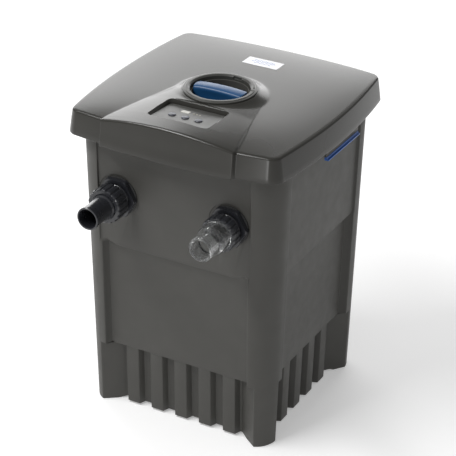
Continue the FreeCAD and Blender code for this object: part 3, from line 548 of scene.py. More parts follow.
def tank_outline(tier, height):
    """The tank's outside at one height, anticlockwise from the middle of the +X side."""
    side_half = half_side(tier, "side", height)
    front_half = half_side(tier, "front", height)
    quarter = [Vector((p.y, p.x)) for p in reversed(side_half)] + front_half[1:]
    half = quarter + [Vector((-p.x, p.y)) for p in reversed(quarter)]
    return half + [-p for p in half]


def kept_within(point, half):
    return Vector((max(-half, min(half, point.x)), max(-half, min(half, point.y))))


def nearest_rounded(point, half, radius):
    """The point's place on a rounded square, for the inside walls."""
    flat = half - radius
    centre = kept_within(point, flat)
    away = point - centre
    if abs(point.x) <= flat and abs(point.y) <= flat:
        away = Vector((0, point.y)) if abs(point.y) > abs(point.x) else Vector((point.x, 0))
        return point - away + away.normalized() * half
    return centre + away.normalized() * radius


def foot_height(point):
    """Only the pillars reach the floor; the ribs and walls between them end just above it."""
    inner, outer = sorted((abs(point.x), abs(point.y)))
    return 0.0 if inner > 100 and outer > 132 else FLOOR_GAP


def is_end_wall(point, height):
    """True at the foot of the upper panel's end walls, where the ledge runs out in a slope."""
    along, out = sorted((abs(point.x), abs(point.y)))
    on_panel = abs(out - half_at(height) + UPPER.depth) < 0.1
    return on_panel and UPPER.half["side"] - 0.1 < along < UPPER.half["front"] + 0.1


def tank_walls():
    """One closed shell: up the outside, over the rim and down the inside."""
    rings = []
    gap_half = 125.0
    base = tank_outline(LOW, 0)
    inner = [kept_within(p, gap_half) for p in base]
    rings.append(raised(inner, FLOOR_GAP))
    rings.append([Vector((p.x, p.y, foot_height(q))) for p, q in zip(inner, base)])
    rings.append([Vector((p.x, p.y, foot_height(p))) for p in base])
    for tier, heights in ((LOW, (12, 60, LOW_LEDGE)), (MIDDLE, (LOW_LEDGE, 160, 220, MIDDLE_LEDGE)),
                          (UPPER, (MIDDLE_LEDGE, 350, 410, RIM_HEIGHT))):
        for height in heights:
            outline = tank_outline(tier, height)
            lift = END_SLOPE if tier is UPPER and height == MIDDLE_LEDGE else 0.0
            rings.append([Vector((p.x, p.y, height + lift * is_end_wall(p, height))) for p in outline])
    top = tank_outline(UPPER, RIM_HEIGHT)
    for half, radius, height in INSIDE:
        rings.append(raised([nearest_rounded(p, half, radius) for p in top], height))
    return loft(rings)


def make_tank():
    tank = add("tank", [tank_walls()])
    round_edges(tank, EDGE_ROUNDING, 3, 24, clamp=False)
    port_seats = []
    holes = []
    for name in ("inlet", "drain"):
        centre = middle_of(f"{name}_gasket")
        seat = span(f"{name}_gasket")[1].y
        seat_ring = [(21, -13), (34, -13), (34, 0), (21, 0)]
        port_seats.append(turned(seat_ring, (centre.x, seat, centre.z), FRONT))
        holes.append(rod((centre.x, -WALL_NEAR, centre.z), (centre.x, -WALL_FAR, centre.z), PORT_HOLE, 96))
        holes.append(rod((centre.x, seat, centre.z), (centre.x, seat - 20, centre.z), GASKET_POCKET, 96))
    outlet = middle_of("outlet_gasket")
    face = span("outlet_gasket")[0].y
    pad = 54
    extras = [rounded_block((outlet.x - pad, outlet.z - pad, -12), (outlet.x + pad, outlet.z + pad, 0),
                            6, 0.8, Matrix.Translation((0, face, 0)) @ UPRIGHT)]
    holes.append(rod((outlet.x, WALL_NEAR, outlet.z), (outlet.x, WALL_FAR, outlet.z), OUTLET_HOLE, 96))
    for side, sign in SIDES:
        low, high = span(f"latch_{side}_pin")
        axis = middle_of(f"latch_{side}_pin")
        ear, reach = 4, 5.5
        root, tip = sorted((sign * 158, sign * 173))
        for start in (low.y, high.y - ear):
            extras.append(rounded_block((root, start, axis.z - reach), (tip, start + ear, axis.z + reach),
                                        0.8, 0.6))
        low, high = span(f"latch_{side}")
        inner, outer = sorted((sign * (RIM_HALF - LATCH_POCKET), sign * (RIM_HALF + 6)))
        holes.append(rounded_block((inner, low.y - 0.3, low.z + LIP), (outer, high.y + 0.3, high.z + 6),
                                   0.2, 0.1))
    carve(tank, extras, "UNION")
    carve(tank, port_seats, "UNION")
    carve(tank, holes)
    hand_over(tank, "tank_shell", angle=TANK_SMOOTH)


# ---------------- lid

LID_HALF = 174.0
LID_BOW = 14.5
LID_ROUND = 23.0
SKIRT_LOW = 463.4
LID_EDGE = 500.0
SKIRT_LEAN = 4.9
DOME_RISE = 6.0
DOME_HALF = 188.6
NOSE_PROUD = 6.3
NOSE_REAR_HALF = 60.0
NOSE_DIP = 1.2
NOSE_SHOULDER = 2.6
NOSE_HALF = 108.0
NOSE_LONG = 178.0
NOSE_END = 3.5
CROWN = 516.0
LID_ROOF_EDGE = 3.2
LID_SMOOTH = 38
WELL = middle_of("lock_ring")
WELL_AXIS = (WELL.x, WELL.y, 0)
WELL_RADIUS = 48.2
RING_TOP = span("lock_ring")[1].z
RING_SEAT = RING_TOP - 3.5
RING_OUTER = 55.5
BOSS_SLOPE = 0.6
PANEL_HALF = 50.0
PANEL_DRAFT = 3.0
PANEL_FRONT = -154.0
PANEL_DEEP = 69.0
PANEL_MIDDLE = Vector((0, PANEL_FRONT + PANEL_DEEP / 2))
PANEL_TILT = math.radians(4.0)
PANEL_TOP = span("control_fascia")[1].z - 1.6
FASCIA = 2.5
ROOF_ROUNDING = ((0, 1), (0.04, 0.76), (0.16, 0.54), (0.19, 0.50), (0.50, 0.19), (0.54, 0.16), (0.76, 0.04),
                 (1, 0))


def soft_step(share):
    """0 to 1 with short round ends and a straight middle."""
    share = ramp(share, 0, 1)
    ease = 0.22
    slope = 1 / (1 - ease)
    if share < ease:
        return slope * share * share / (2 * ease)
    if share > 1 - ease:
        return 1 - slope * (1 - share) ** 2 / (2 * ease)
    return slope * (share - ease / 2)


def lid_outline():
    """The outline of the skirt's lower edge, anticlockwise, and the way out at each point, nose aside."""
    lean = 2 * LID_BOW / LID_HALF
    cut = LID_ROUND * math.tan((math.pi / 2 - 2 * math.atan(lean)) / 2)
    reach = LID_HALF - cut
    beyond = NOSE_HALF + NOSE_END + 2
    marks = (-reach, -beyond, 2 - NOSE_HALF, NOSE_HALF - 2, beyond, reach)
    offsets = [-reach]
    for start, end, count in zip(marks, marks[1:], (20, 16, 72, 16, 20)):
        offsets += [start + (end - start) * (step + 1) / count for step in range(count)]
    slope = math.atan(2 * LID_BOW * reach / LID_HALF ** 2)
    end = Vector((LID_HALF + LID_BOW * (1 - (reach / LID_HALF) ** 2), reach))
    centre = end - Vector((math.cos(slope), math.sin(slope))) * LID_ROUND
    corner_steps = 14
    outline = []
    plain = []
    for quarter in range(4):
        turn = Matrix.Rotation(quarter * math.pi / 2, 2)
        for offset in offsets:
            out = LID_HALF + LID_BOW * (1 - (offset / LID_HALF) ** 2)
            plain.append(turn @ Vector((out, offset)))
            if quarter == 3:
                out += NOSE_PROUD * soft_step((NOSE_HALF + NOSE_END - abs(offset)) / NOSE_END)
            outline.append(turn @ Vector((out, offset)))
        for step in range(1, corner_steps):
            angle = slope + (math.pi / 2 - 2 * slope) * step / corner_steps
            outline.append(turn @ (centre + Vector((math.cos(angle), math.sin(angle))) * LID_ROUND))
            plain.append(outline[-1])
    normals = []
    for index in range(len(plain)):
        run = plain[(index + 1) % len(plain)] - plain[index - 1]
        normals.append(Vector((run.y, -run.x)).normalized())
    return outline, normals


def soft_max(first, second, width):
    """The larger of two heights, blended where they differ by less than the width."""
    near = max(width - abs(first - second), 0) / width
    return max(first, second) + near * near * width / 4


def nose_half_at(y):
    """Half the nose's width, growing towards the front."""
    return NOSE_REAR_HALF + (NOSE_HALF - NOSE_REAR_HALF) * max(0.0, -y / NOSE_LONG) ** 0.85


def lid_top(x, y):
    """Height of the lid's outside: a low dome, the arched nose and the boss around the lamp well."""
    dome = LID_EDGE + DOME_RISE * (1 - (x / DOME_HALF) ** 4) * (1 - (y / DOME_HALF) ** 4)
    half = nose_half_at(min(y, WELL.y))
    reach = math.hypot(x, max(0.0, y - WELL.y))
    side = dome + NOSE_SHOULDER * ramp(-y, 80, 170)
    crown = CROWN - NOSE_DIP * ramp(y, -150, -85)
    nose = crown - max(crown - side, 0.0) * (reach / half) ** 2
    if reach > half:
        nose -= 1.2 * (reach - half)
    radius = math.hypot(x - WELL.x, y - WELL.y)
    boss = RING_SEAT - BOSS_SLOPE * max(0.0, radius - RING_OUTER - 1)
    crease = 1.2 + 3 * ramp(y, -70, -10)
    top = soft_max(soft_max(dome, nose, crease), boss, 3.0)
    if radius < RING_OUTER + 4:
        share = ramp(radius, RING_OUTER, RING_OUTER + 4)
        top = RING_SEAT + (top - RING_SEAT) * share * share * (3 - 2 * share)
    return top


def panel_height(y, lift=0.0):
    """Height of the sunk control panel, which slopes down to the rear."""
    return PANEL_TOP + lift - (y - PANEL_FRONT) * math.tan(PANEL_TILT)


def fascia_top(x, y):
    """The control panel's face, kept just under the nose where the nose curves below the panel's plane."""
    return -soft_max(-panel_height(y), 0.5 - lid_top(x, y), 1.5)


def lid_underside(x, y):
    """Underside of the roof, lowered under the control panel."""
    reach_x = ramp(abs(x), PANEL_HALF + 12, PANEL_HALF + 6)
    reach_y = ramp(abs(y - PANEL_MIDDLE.y), PANEL_DEEP / 2 + 9, PANEL_DEEP / 2 + 3)
    plain = lid_top(x, y) - WALL
    sunk = panel_height(y, -5.0)
    return plain + (min(plain, sunk) - plain) * reach_x * reach_y


def lid_shell():
    """One closed shell: up the skirt, over the roof, down the well, and back out under the roof."""
    outline, normals = lid_outline()
    rings = []

    def skirt(height, inset=0.0):
        lean = SKIRT_LEAN * (height - SKIRT_LOW) / (LID_EDGE - SKIRT_LOW) + inset
        return [p - n * lean for p, n in zip(outline, normals)]

    lip = 1.0
    for step in reversed(range(4)):
        angle = math.pi / 2 * step / 3
        height = SKIRT_LOW + lip * (1 - math.sin(angle))
        rings.append(raised(skirt(height, lip * (1 - math.cos(angle))), height))
    for share in (0.25, 0.5, 0.75):
        height = SKIRT_LOW + (LID_EDGE - SKIRT_LOW - LID_ROOF_EDGE) * share
        rings.append(raised(skirt(height), height))
    rim = skirt(LID_EDGE)
    tops = [lid_top(p.x, p.y) for p in rim]
    for inset, drop in ROOF_ROUNDING:
        placed = [p - n * LID_ROOF_EDGE * inset for p, n in zip(rim, normals)]
        rings.append([Vector((*p, top - LID_ROOF_EDGE * drop)) for p, top in zip(placed, tops)])
    start = [v.xy for v in rings[-1]]

    def around_well(radius):
        return [WELL.xy + (p - WELL.xy).normalized() * radius for p in start]

    well = around_well(WELL_RADIUS)
    collar = around_well(WELL_RADIUS + 3)
    collar_low = 478.0
    loops = 84
    for step in range(1, loops + 1):
        rings.append(raised([p.lerp(q, step / loops) for p, q in zip(start, well)], lid_top))
    rings.append(raised(well, collar_low))
    rings.append(raised(collar, collar_low))
    inside = skirt(LID_EDGE, WALL)
    for share in (0.0, 0.15, 0.3, 0.45, 0.6, 0.75, 0.9, 1.0):
        rings.append(raised([q.lerp(p, share) for p, q in zip(inside, collar)], lid_underside))
    rings.append(raised(skirt(SKIRT_LOW, WALL), SKIRT_LOW + 2))
    rings.append(raised(skirt(SKIRT_LOW, WALL - 0.8), SKIRT_LOW))
    return loft(rings, wrap=True)


def draped_rings(outline, height, loops):
    """Rings from a small one in an outline's middle out to the outline, at the heights of a function."""
    middle = sum(outline, Vector((0, 0))) / len(outline)
    return [raised([middle.lerp(point, step / loops) for point in outline], height)
            for step in range(1, loops + 1)]


def draped_plate(outline, top, thickness, edge=0.35, loops=10):
    """A closed plate whose upper face follows a height function of (x, y)."""
    rings = draped_rings(outline, lambda x, y: top(x, y) - thickness, loops)
    rings.append(raised(outline, lambda x, y: top(x, y) - edge))
    middle = sum(outline, Vector((0, 0))) / len(outline)
    inner = [point + (middle - point).normalized() * edge for point in outline]
    rings += reversed(draped_rings(inner, top, loops))
    return loft(rings)


def panel_cutter():
    """The control recess: round corners, a floor that slopes down to the rear, and a soft upper rim."""

    def outline(grow):
        points = rounded_rectangle(PANEL_HALF + grow, PANEL_DEEP / 2 + grow, 7 + grow, 10)
        return [PANEL_MIDDLE + point for point in points]

    rings = draped_rings(outline(-PANEL_DRAFT), lambda x, y: fascia_top(x, y) - FASCIA, 6)
    rings.append(raised(outline(-PANEL_DRAFT), lambda x, y: fascia_top(x, y) + 0.3))
    for grow, lift in ((0, -0.8), (0.3, -0.3), (0.8, 0.1), (2.0, 0.9)):
        rings.append([Vector((*p, max(lid_top(*p) + lift, fascia_top(*p) + 0.1))) for p in outline(grow)])
    rings.append(raised(rings[-1], CROWN + 8))
    return loft(rings)


def make_lid():
    lid = add("lid", [lid_shell()])
    carve(lid, [panel_cutter()])
    hand_over(lid, "lid_shell", angle=LID_SMOOTH)


# ---------------- control panel, label and lamp unit

def make_panel():
    """Fascia with its holes, domed buttons with painted shade crescents, the display window and three
    lights.
    """
    inset = PANEL_DRAFT + 0.6
    plan = rounded_rectangle(PANEL_HALF - inset, PANEL_DEEP / 2 - inset, 4.5, 10)
    outline = [PANEL_MIDDLE + p for p in plan]
    fascia = add("control_fascia_plate", [draped_plate(outline, fascia_top, FASCIA - 0.3)])
    normal = Vector((0, math.sin(PANEL_TILT), math.cos(PANEL_TILT)))
    hole_radius = 6.0
    profile = [(0, -7), (4.5, -7), (4.5, -1), (5.6, -1), (5.6, 0.7), (5.0, 1.4), (3.2, 1.9), (0, 2.1)]
    for name in ("button_left", "button_middle", "button_right"):
        place = middle_of(name)
        seat = Vector((place.x, place.y, panel_height(place.y)))
        carve(fascia, [rod(seat - normal * 8, seat + normal * 8, hole_radius, 64)])
        piece(f"{name}_cap", name, [turned(profile, seat, normal, 0.5, 64)])
        # The dark blue crescent on each button's lower right is painted shade.
        belongs(add(f"{name}_painted_shade", [crescent(facing(seat, normal))]), name, "handle_blue")
    low, high = span("display_window")
    centre = middle_of("display_window").xy
    half = (high - low) / 2
    hole = [centre + p for p in rounded_rectangle(half.x + 0.2, half.y + 0.2, 1.4, 5)]
    carve(fascia, [loft([raised(hole, 495), raised(hole, 520)])])
    hand_over(fascia, "control_fascia", angle=LID_SMOOTH)
    glass = [centre + p for p in rounded_rectangle(half.x, half.y, 1.3, 5)]
    window = draped_plate(glass, lambda x, y: fascia_top(x, y) + 0.25, 2.0, 0.3, 4)
    piece("display_glass", "display_window", [window])
    low, high = span("status_lights")
    middle = middle_of("status_lights")
    radius = 1.5
    profile = [(0, -0.5), (radius, -0.5), (radius, 0.2), (1.0, 0.6), (0, 0.75)]
    lamps = []
    for x in (low.x + radius, middle.x, high.x - radius):
        lamps.append(turned(profile, (x, middle.y, fascia_top(x, middle.y)), normal, 0.2, 32))
    piece("status_light_domes", "status_lights", lamps)


def crescent(place):
    """A thin crescent of painted shade on the front right of a button's dome, the side away from the light.
    """
    rings = []
    steps = 24
    outer = 5.3
    widest = 2.7
    for step in range(1, steps):
        share = step / steps
        angle = math.radians(-150 + 160 * share)
        inner = outer - widest * math.sin(math.pi * share)
        ring = []
        inner_top = 1.45 + 0.22 * (outer - inner)
        for radius, height in ((inner, 0.8), (outer, 0.8), (outer, 1.3), (inner, inner_top)):
            ring.append(place @ Vector((radius * math.cos(angle), radius * math.sin(angle), height)))
        rings.append(ring)
    return loft(rings)


def make_label():
    """A blank plate on the lid, with three plain wave lines in place of the printing."""
    low, high = span("blank_label")
    centre = middle_of("blank_label").xy
    proud = 0.4
    half = (high - low) / 2
    outline = [centre + p for p in rounded_rectangle(half.x, half.y, 1.6, 5)]
    plate = draped_plate(outline, lambda x, y: lid_top(x, y) + proud, 0.9, 0.2, 8)
    piece("blank_label_plate", "blank_label", [plate])
    waves = []
    for row, reach in ((5.5, 17), (1.0, 20), (-4.5, 15)):
        rings = []
        for step in range(61):
            x = -reach + 2 * reach * step / 60
            y = centre.y + row + 1.1 * math.sin(x * 0.75)
            height = lid_top(x, y) + proud
            rings.append([Vector((x, y + side, height + rise))
                          for side, rise in ((-0.55, -0.05), (0.55, -0.05), (0.55, 0.08), (-0.55, 0.08))])
        waves.append(loft(rings))
    belongs(add("label_waves", waves), "blank_label", "latch_blue")


def make_ring():
    bore = 44.8
    step = RING_TOP - 1.0
    profile = [(bore, 480), (48, 480), (48, RING_SEAT), (RING_OUTER, RING_SEAT), (RING_OUTER, step - 0.7),
               (54.6, step - 0.1), (52.6, step), (51.4, RING_TOP), (47.4, RING_TOP), (bore, RING_TOP - 2.2)]
    ring = add("lock_ring_turned", [turned(profile, WELL_AXIS, UPWARD, 0.5, 192)])

    def notch(angle, radius, length, width, depth):
        place = Matrix.Translation(WELL_AXIS) @ Matrix.Rotation(math.radians(angle), 4, "Z")
        low = (radius, -length / 2, RING_TOP - depth)
        return rounded_block(low, (radius + width, length / 2, RING_TOP + 3), 0.5, 0.3, place, 4)

    carve(ring, [notch(84, bore - 1.5, 15, 3.0, 5)])
    for angle in (13, 24):
        carve(ring, [notch(angle, 47.6, 3.2, 3.6, 0.8)])
    hand_over(ring, "lock_ring", angle=LID_SMOOTH)


def make_cup_and_handle():
    """The dark cup and the blue bar that turns it, its top and its grip faces gently curved."""
    outer = 44.4
    inner = 41.9
    cup = [(0, 478), (30, 478), (30, 483), (outer, 483), (outer, 511), (inner, 511), (inner, 488.5),
           (40, 487), (0, 487)]
    piece("lamp_cup_turned", "lamp_cup", [turned(cup, WELL_AXIS, UPWARD, 0.7, 160)])
    low, high = span("twist_handle")
    half_y = (high.y - low.y) / 2
    reach = 40.8
    rings = []
    steps = 48
    for step in range(steps + 1):
        x = -reach + 2 * reach * step / steps
        width = min(half_y, math.sqrt((inner - 0.1) ** 2 - x * x))
        top = high.z - 2.2 * (x / reach) ** 2
        scoop = 1.6 * (1 - (x / reach) ** 2)
        side = [(width, low.z), (width - 0.5 * scoop, low.z + 6), (width - scoop, low.z + 13),
                (width - 0.8 * scoop, top - 8), (width - 0.2, top - 4.6), (width - 0.7, top - 2.9),
                (width - 1.7, top - 1.6), (width - 3.2, top - 0.7), (width * 0.5, top - 0.2),
                (width * 0.15, top)]
        ring = [Vector((x, WELL.y + y, z)) for y, z in side]
        ring += [Vector((x, WELL.y - y, z)) for y, z in reversed(side)]
        rings.append(ring)
    piece("twist_handle_bar", "twist_handle", [loft(rings)], 50)


# ---------------- hose fittings

THREAD = 21.0
HEX_CORNER = 32.5


def hexagon(angle, radius):
    """The locknut's flats: only its outside is six-sided."""
    if radius < THREAD + 3:
        return radius
    flat = HEX_CORNER * math.cos(math.pi / 6)
    return min(radius, flat / math.cos(angle % (math.pi / 3) - math.pi / 6))


def grooved(count, depth, beyond, power=1.0):
    """A shape for turned(): grooves around what lies beyond a radius."""
    def shape(angle, radius):
        hollow = max(0.0, math.cos(count * angle)) ** power
        return radius - depth * hollow if radius > beyond else radius

    return shape


def thread(start, end):
    """Profile points of a row of thread crests along a barrel."""
    pitch = 2.4
    points = []
    distance = start
    while distance + pitch < end:
        points += [(THREAD - 0.9, distance), (THREAD, distance + 0.35 * pitch)]
        points.append((THREAD, distance + 0.6 * pitch))
        distance += pitch
    return points


def make_fitting(name, tail, lip):
    """Gasket, bulkhead, hexagonal locknut, union nut and hose tail, by their distances from the middle."""
    axis = middle_of(f"{name}_gasket")
    origin = (axis.x, 0, axis.z)
    seat = -span(f"{name}_gasket")[1].y
    face = -span(f"{name}_locknut")[0].y
    nut_low, nut_high = span(f"{name}_union_nut")
    back, front = -nut_high.y, -nut_low.y
    end = -span(f"{name}_bulkhead")[0].y

    def lathe(part, profile, round_by=0.4, segments=144, shape=None):
        piece(f"{name}_{part}_turned", f"{name}_{part}",
              [turned(profile, origin, FRONT, round_by, segments, shape)], 36)

    lathe("gasket", [(THREAD + 0.2, seat), (31, seat), (31, face - 8), (THREAD + 0.2, face - 8)], 0.9)
    rear, flange = 146, 151
    barrel = [(15, rear), (30, rear), (30, flange), (THREAD - 0.9, flange)] + thread(flange + 4, end - 1.5)
    barrel += [(THREAD - 0.9, end), (15, end)]
    lathe("bulkhead", barrel, 0.15)
    chamfer = [(THREAD + 0.3, face - 8), (33.5, face - 8), (34.3, face - 7), (33.6, face - 2.4),
               (30.8, face), (24, face), (THREAD + 0.3, face - 1)]
    lathe("locknut", chamfer, 0.25, 216, hexagon)
    nut = [(THREAD + 0.06, back), (26, back), (27.5, back + 1.6), (27.5, front - 3.4), (26.6, front - 1.0),
           (25.1, front), (lip, front), (lip, 194.2), (24.8, 194.2), (24.8, end - 0.6),
           (THREAD + 0.06, end - 0.6)]
    lathe("union_nut", nut, 0.5, 288, grooved(18, 1.5, 25.2, 0.7))
    lathe("hose_tail", tail, 0.4)


def make_fittings():
    mouth = 248.5
    inlet = [(14.5, 190), (24, 190), (24, 194), (19.5, 194), (19.5, 206.5), (18.0, 209.5), (17.1, 216),
             (16.8, 224), (16.7, mouth - 7), (17.6, mouth - 6), (17.6, mouth - 1), (16.9, mouth),
             (15.3, mouth), (14.6, mouth - 1.6), (14.5, 230)]
    make_fitting("inlet", inlet, 19.9)
    drain = [(15.5, 190), (24.4, 190), (24.4, 193.8), (22.7, 193.8), (22.7, 216.5), (21.6, 219.2),
             (19.2, 222.6), (18.5, 225), (18.5, mouth - 1.2), (17.6, mouth), (16.2, mouth)]
    for index in range(5):
        crest = mouth - 2.5 - 4.0 * index
        drain += [(15.7, crest + 1.4), (14.9, crest), (15.7, crest - 1.4)]
    drain += [(15.7, 222), (19.2, 215), (19.2, 196), (15.5, 194)]
    make_fitting("drain", drain, 23.1)


def make_outlet():
    """Square flange with a tube for 75 mm pipe, four socket screws and the gasket."""
    low, high = span("outlet_stub")
    centre = middle_of("outlet_gasket")
    gasket_low, face = (corner.y for corner in span("outlet_gasket"))
    axis = (centre.x, 0, centre.z)

    def plate(start, end, edge):
        return rounded_block((low.x, low.z, start), (high.x, high.z, end), 7, edge, UPRIGHT)

    def through(radius):
        return rod((centre.x, 130, centre.z), (centre.x, 270, centre.z), radius, 128)

    outer = 37.5
    flange = face + 5
    seal = add("outlet_gasket_plate", [plate(gasket_low, face, 0.4)])
    carve(seal, [through(outer)])
    hand_over(seal, "outlet_gasket", angle=LID_SMOOTH)
    stub = add("outlet_stub_flange", [plate(face, flange, 1.0)])
    carve(stub, [through(outer - 1.5)])
    profile = [(outer - 3.2, low.y), (outer, low.y), (outer, high.y - 2), (outer - 1.6, high.y),
               (outer - 3.2, high.y)]
    carve(stub, [turned(profile, axis, REAR, 0.8, 160)], "UNION")
    inner, proud = outer - 1.6, outer + 2.4
    collar = [(inner, face + 3), (proud, face + 3), (proud, face + 11), (inner, face + 11)]
    carve(stub, [turned(collar, axis, REAR, 0.8)], "UNION")
    hand_over(stub, "outlet_stub", angle=LID_SMOOTH)
    screw_low, screw_high = span("outlet_screws")
    head = 4.5
    screws = []
    profile = [(0, -13.5), (2.1, -13.5), (2.1, 0), (head, 0), (head, 2.4), (3.8, 3.2), (2.2, 3.2),
               (2.2, 1.3), (0, 1.3)]
    for x in (screw_low.x + head, screw_high.x - head):
        for z in (screw_low.z + head, screw_high.z - head):
            screws.append(turned(profile, (x, flange, z), REAR, 0.25, 48))
    piece("outlet_screw_set", "outlet_screws", screws)


def make_gland():
    middle = middle_of("cable_gland")
    origin = (middle.x, span("cable_gland")[0].y, middle.z)
    bore = 3.6
    profile = [(bore, 0), (8, 0), (8, 11), (10.5, 11), (10.5, 20), (9.2, 21.5), (7.2, 27), (bore + 0.6, 27),
               (bore, 26)]
    piece("cable_gland_turned", "cable_gland",
          [turned(profile, origin, REAR, 0.5, 144, grooved(12, 0.7, 10))])


# ---------------- latches and seal

def swept_along_y(corners, sign, start, end):
    """(x, z) corners, softened, mirrored by the sign and drawn along Y, a little smaller at the two ends."""
    section = [Vector((sign * p.x, p.y)) for p in soften(corners, 0.5, 3)]
    middle = sum(section, Vector((0, 0))) / len(section)
    taper = 0.6
    rings = []
    for y, shrink in ((start, 0.94), (start + taper, 1.0), (end - taper, 1.0), (end, 0.94)):
        placed = [middle + (p - middle) * shrink for p in section]
        rings.append([Vector((p.x, y, p.y)) for p in placed])
    return loft(rings)


LIP = 4.8


def make_latches():
    """On each side a sprung plate, dark as painted shade, with a blue finger lip along its lower edge, on a
    steel pin.
    """
    for side, sign in SIDES:
        low, high = span(f"latch_{side}")
        pin_low, pin_high = span(f"latch_{side}_pin")
        axis = (pin_low + pin_high) / 2
        start, end = low.y, high.y
        inner = abs(axis.x) - 1.5
        lip_top = low.z + LIP
        lip = [(inner, low.z), (174.5, low.z), (174.5, low.z + 1.6), (171.6, low.z + 2.6), (171.0, lip_top),
               (inner, lip_top)]
        lip_obj = add(f"latch_{side}_lip", [swept_along_y(lip, sign, start, end)])
        belongs(lip_obj, f"latch_{side}", angle=TANK_SMOOTH)
        # The plate takes the tank's dark plastic, not the latch's blue, as painted shade under the lid's
        # skirt.
        plate = [(inner, lip_top + 0.1), (170.5, lip_top + 0.1), (170.5, 468.8), (171.6, 470),
                 (171.6, high.z), (170.0, high.z), (169.4, 458), (inner, 455)]
        body = add(f"latch_{side}_plate", [swept_along_y(plate, sign, start, end)])
        carve(body, [rod((axis.x, start + 0.2, axis.z), (axis.x, end - 0.2, axis.z), 3.6)], "UNION")
        carve(body, [rod((axis.x, start - 5, axis.z), (axis.x, end + 5, axis.z), 2.05, rim=0)])
        hand_over(body, f"latch_{side}", "tank_plastic", TANK_SMOOTH)
        pin = rod((axis.x, pin_low.y, axis.z), (axis.x, pin_high.y, axis.z), 2.0, rim=0.6)
        piece(f"latch_{side}_pin_rod", f"latch_{side}_pin", [pin])


# ---------------- inside the tank and under the lid

def foam_block(node, seed):
    """A sawn block of open foam: soft edges, faces that bulge a little, and an uneven cut surface."""
    low, high = span(node)
    middle = (low + high) / 2
    half = (high - low) / 2
    drift = Vector((seed * 7.3, seed * 3.1, 0))
    corner = 6.0
    corners = [Vector((1, -1)), Vector((1, 1)), Vector((-1, 1)), Vector((-1, -1))]
    outline = []
    for start, end in zip(corners, corners[1:] + corners[:1]):
        outline += [start.lerp(end, step / 14) for step in range(14)]

    def place(x, y, z):
        """A point of the cube of half size 1, moved to the block's rounded and crowned surface."""
        point = Vector((x * (half.x - corner), y * (half.y - corner), z * (half.z - corner)))
        away = Vector((x ** 9, y ** 9, z ** 9)).normalized()
        point += away * (corner - 1.6)
        crown = (1 - x * x) * (1 - y * y) if abs(z) > 0.98 else (1 - z * z) * (1 - min(x * x, y * y))
        rough = noise.noise((point + drift) * 0.11) * 0.7 + noise.noise((point - drift) * 0.45) * 0.5
        return middle + point + away * (1.1 * crown - 0.5 + rough)

    shares = (0.2, 0.4, 0.6, 0.8, 0.93)
    rings = [[place(p.x * share, p.y * share, -1) for p in outline] for share in shares]
    rings += [[place(p.x, p.y, -1 + 2 * step / 36) for p in outline] for step in range(37)]
    rings += [[place(p.x * share, p.y * share, 1) for p in outline] for share in reversed(shares)]
    block = add(f"{node}_block", [loft(rings)])
    hand_over(block, node, angle=70)


def refined(node):
    """A CAD node's own shape with its sharp rims rounded."""
    source = frame["nodes"][node]
    work = bmesh.new()
    work.from_mesh(source.data)
    bmesh.ops.remove_doubles(work, verts=work.verts, dist=1e-6)
    bmesh.ops.dissolve_limit(work, angle_limit=math.radians(1.0), verts=work.verts, edges=work.edges)
    obj = made_from(f"{node}_rounded", work)
    obj.matrix_world = source.matrix_world
    round_edges(obj, 0.4, 2, 40)
    hand_over(obj, node, angle=35)


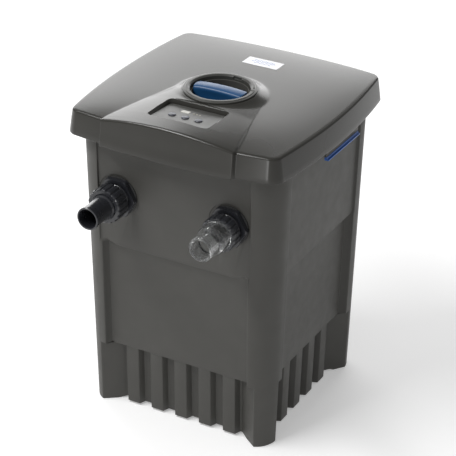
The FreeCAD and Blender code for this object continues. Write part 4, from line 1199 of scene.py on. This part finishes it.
def make_lamp():
    """Socket, quartz sleeve with a round end, and a twin-tube lamp inside it."""
    socket = [(0, 452), (24.5, 452), (24.5, 470), (30, 470), (30, 478), (0, 478)]
    grip = grooved(16, 0.5, 29)
    piece("lamp_socket_turned", "lamp_socket", [turned(socket, WELL_AXIS, UPWARD, 0.8, 160, grip)], 36)
    radius = 22.0
    bottom = span("quartz_sleeve")[0].z
    wall = 2.0
    profile = []
    dome = 9
    for reach, base in ((radius, bottom), (radius - wall, bottom + wall)):
        arc = []
        for step in range(9):
            angle = math.pi / 2 * step / 8
            arc.append((reach * math.sin(angle), base + dome - dome * math.cos(angle)))
        arc.append((reach, 452))
        profile += reversed(arc) if profile else arc
    piece("quartz_sleeve_tube", "quartz_sleeve", [turned(profile, WELL_AXIS, UPWARD, 0, 96)], 36)
    low, high = span("uvc_lamp")
    tube = 7.5
    legs = 9.0
    rear = Vector(REAR)
    path = [Vector((-legs, WELL.y, high.z)), Vector((-legs, WELL.y, low.z + 60))]
    for step in range(17):
        angle = math.pi * step / 16
        path.append(Vector((-legs * math.cos(angle), WELL.y, low.z + tube + legs - legs * math.sin(angle))))
    path += [Vector((legs, WELL.y, low.z + 60)), Vector((legs, WELL.y, high.z))]
    rings = []
    for index, point in enumerate(path):
        ahead = path[min(index + 1, len(path) - 1)] - path[max(index - 1, 0)]
        across = ahead.normalized().cross(rear)
        turns = [TURN * step / 32 for step in range(32)]
        rings.append([point + (across * math.cos(turn) + rear * math.sin(turn)) * tube for turn in turns])
    piece("uvc_lamp_tubes", "uvc_lamp", [loft(rings)], 50)


def make_seal():
    """The sponge-rubber ring between the tank's rim and the lid."""
    low, high = span("lid_seal")
    width = 7.0
    rings = []
    for inset, height in ((1.0, low.z), (0, low.z + 1), (0, high.z), (width, high.z), (width, low.z + 1),
                          (width - 1, low.z)):
        rings.append(raised(rounded_rectangle(high.x - inset, high.y - inset, 34 - inset, 14), height))
    piece("lid_seal_ring", "lid_seal", [loft(rings, wrap=True)], 50)


def make_inside():
    for seed, node in enumerate(("coarse_foam_left", "fine_foam_left", "fine_foam_right",
                                 "coarse_foam_right")):
        foam_block(node, seed)
    make_lamp()
    make_seal()
    for node in ("foam_top_grid", "foam_support_grid", "divider_wall", "ballast_tray", "lamp_ballast",
                 "control_board", "pump_feet", "pump_motor", "pump_volute", "pump_strainer", "lamp_housing"):
        refined(node)


make_materials()
make_camera()
make_studio()
make_floor()
make_tank()
make_lid()
make_panel()
make_label()
make_ring()
make_cup_and_handle()
make_fittings()
make_outlet()
make_gland()
make_latches()
make_inside()

for name, obj in frame["nodes"].items():
    if not obj.hide_render:
        obj.data.materials.clear()
        obj.data.materials.append(MATERIALS[SLOTS[name]])
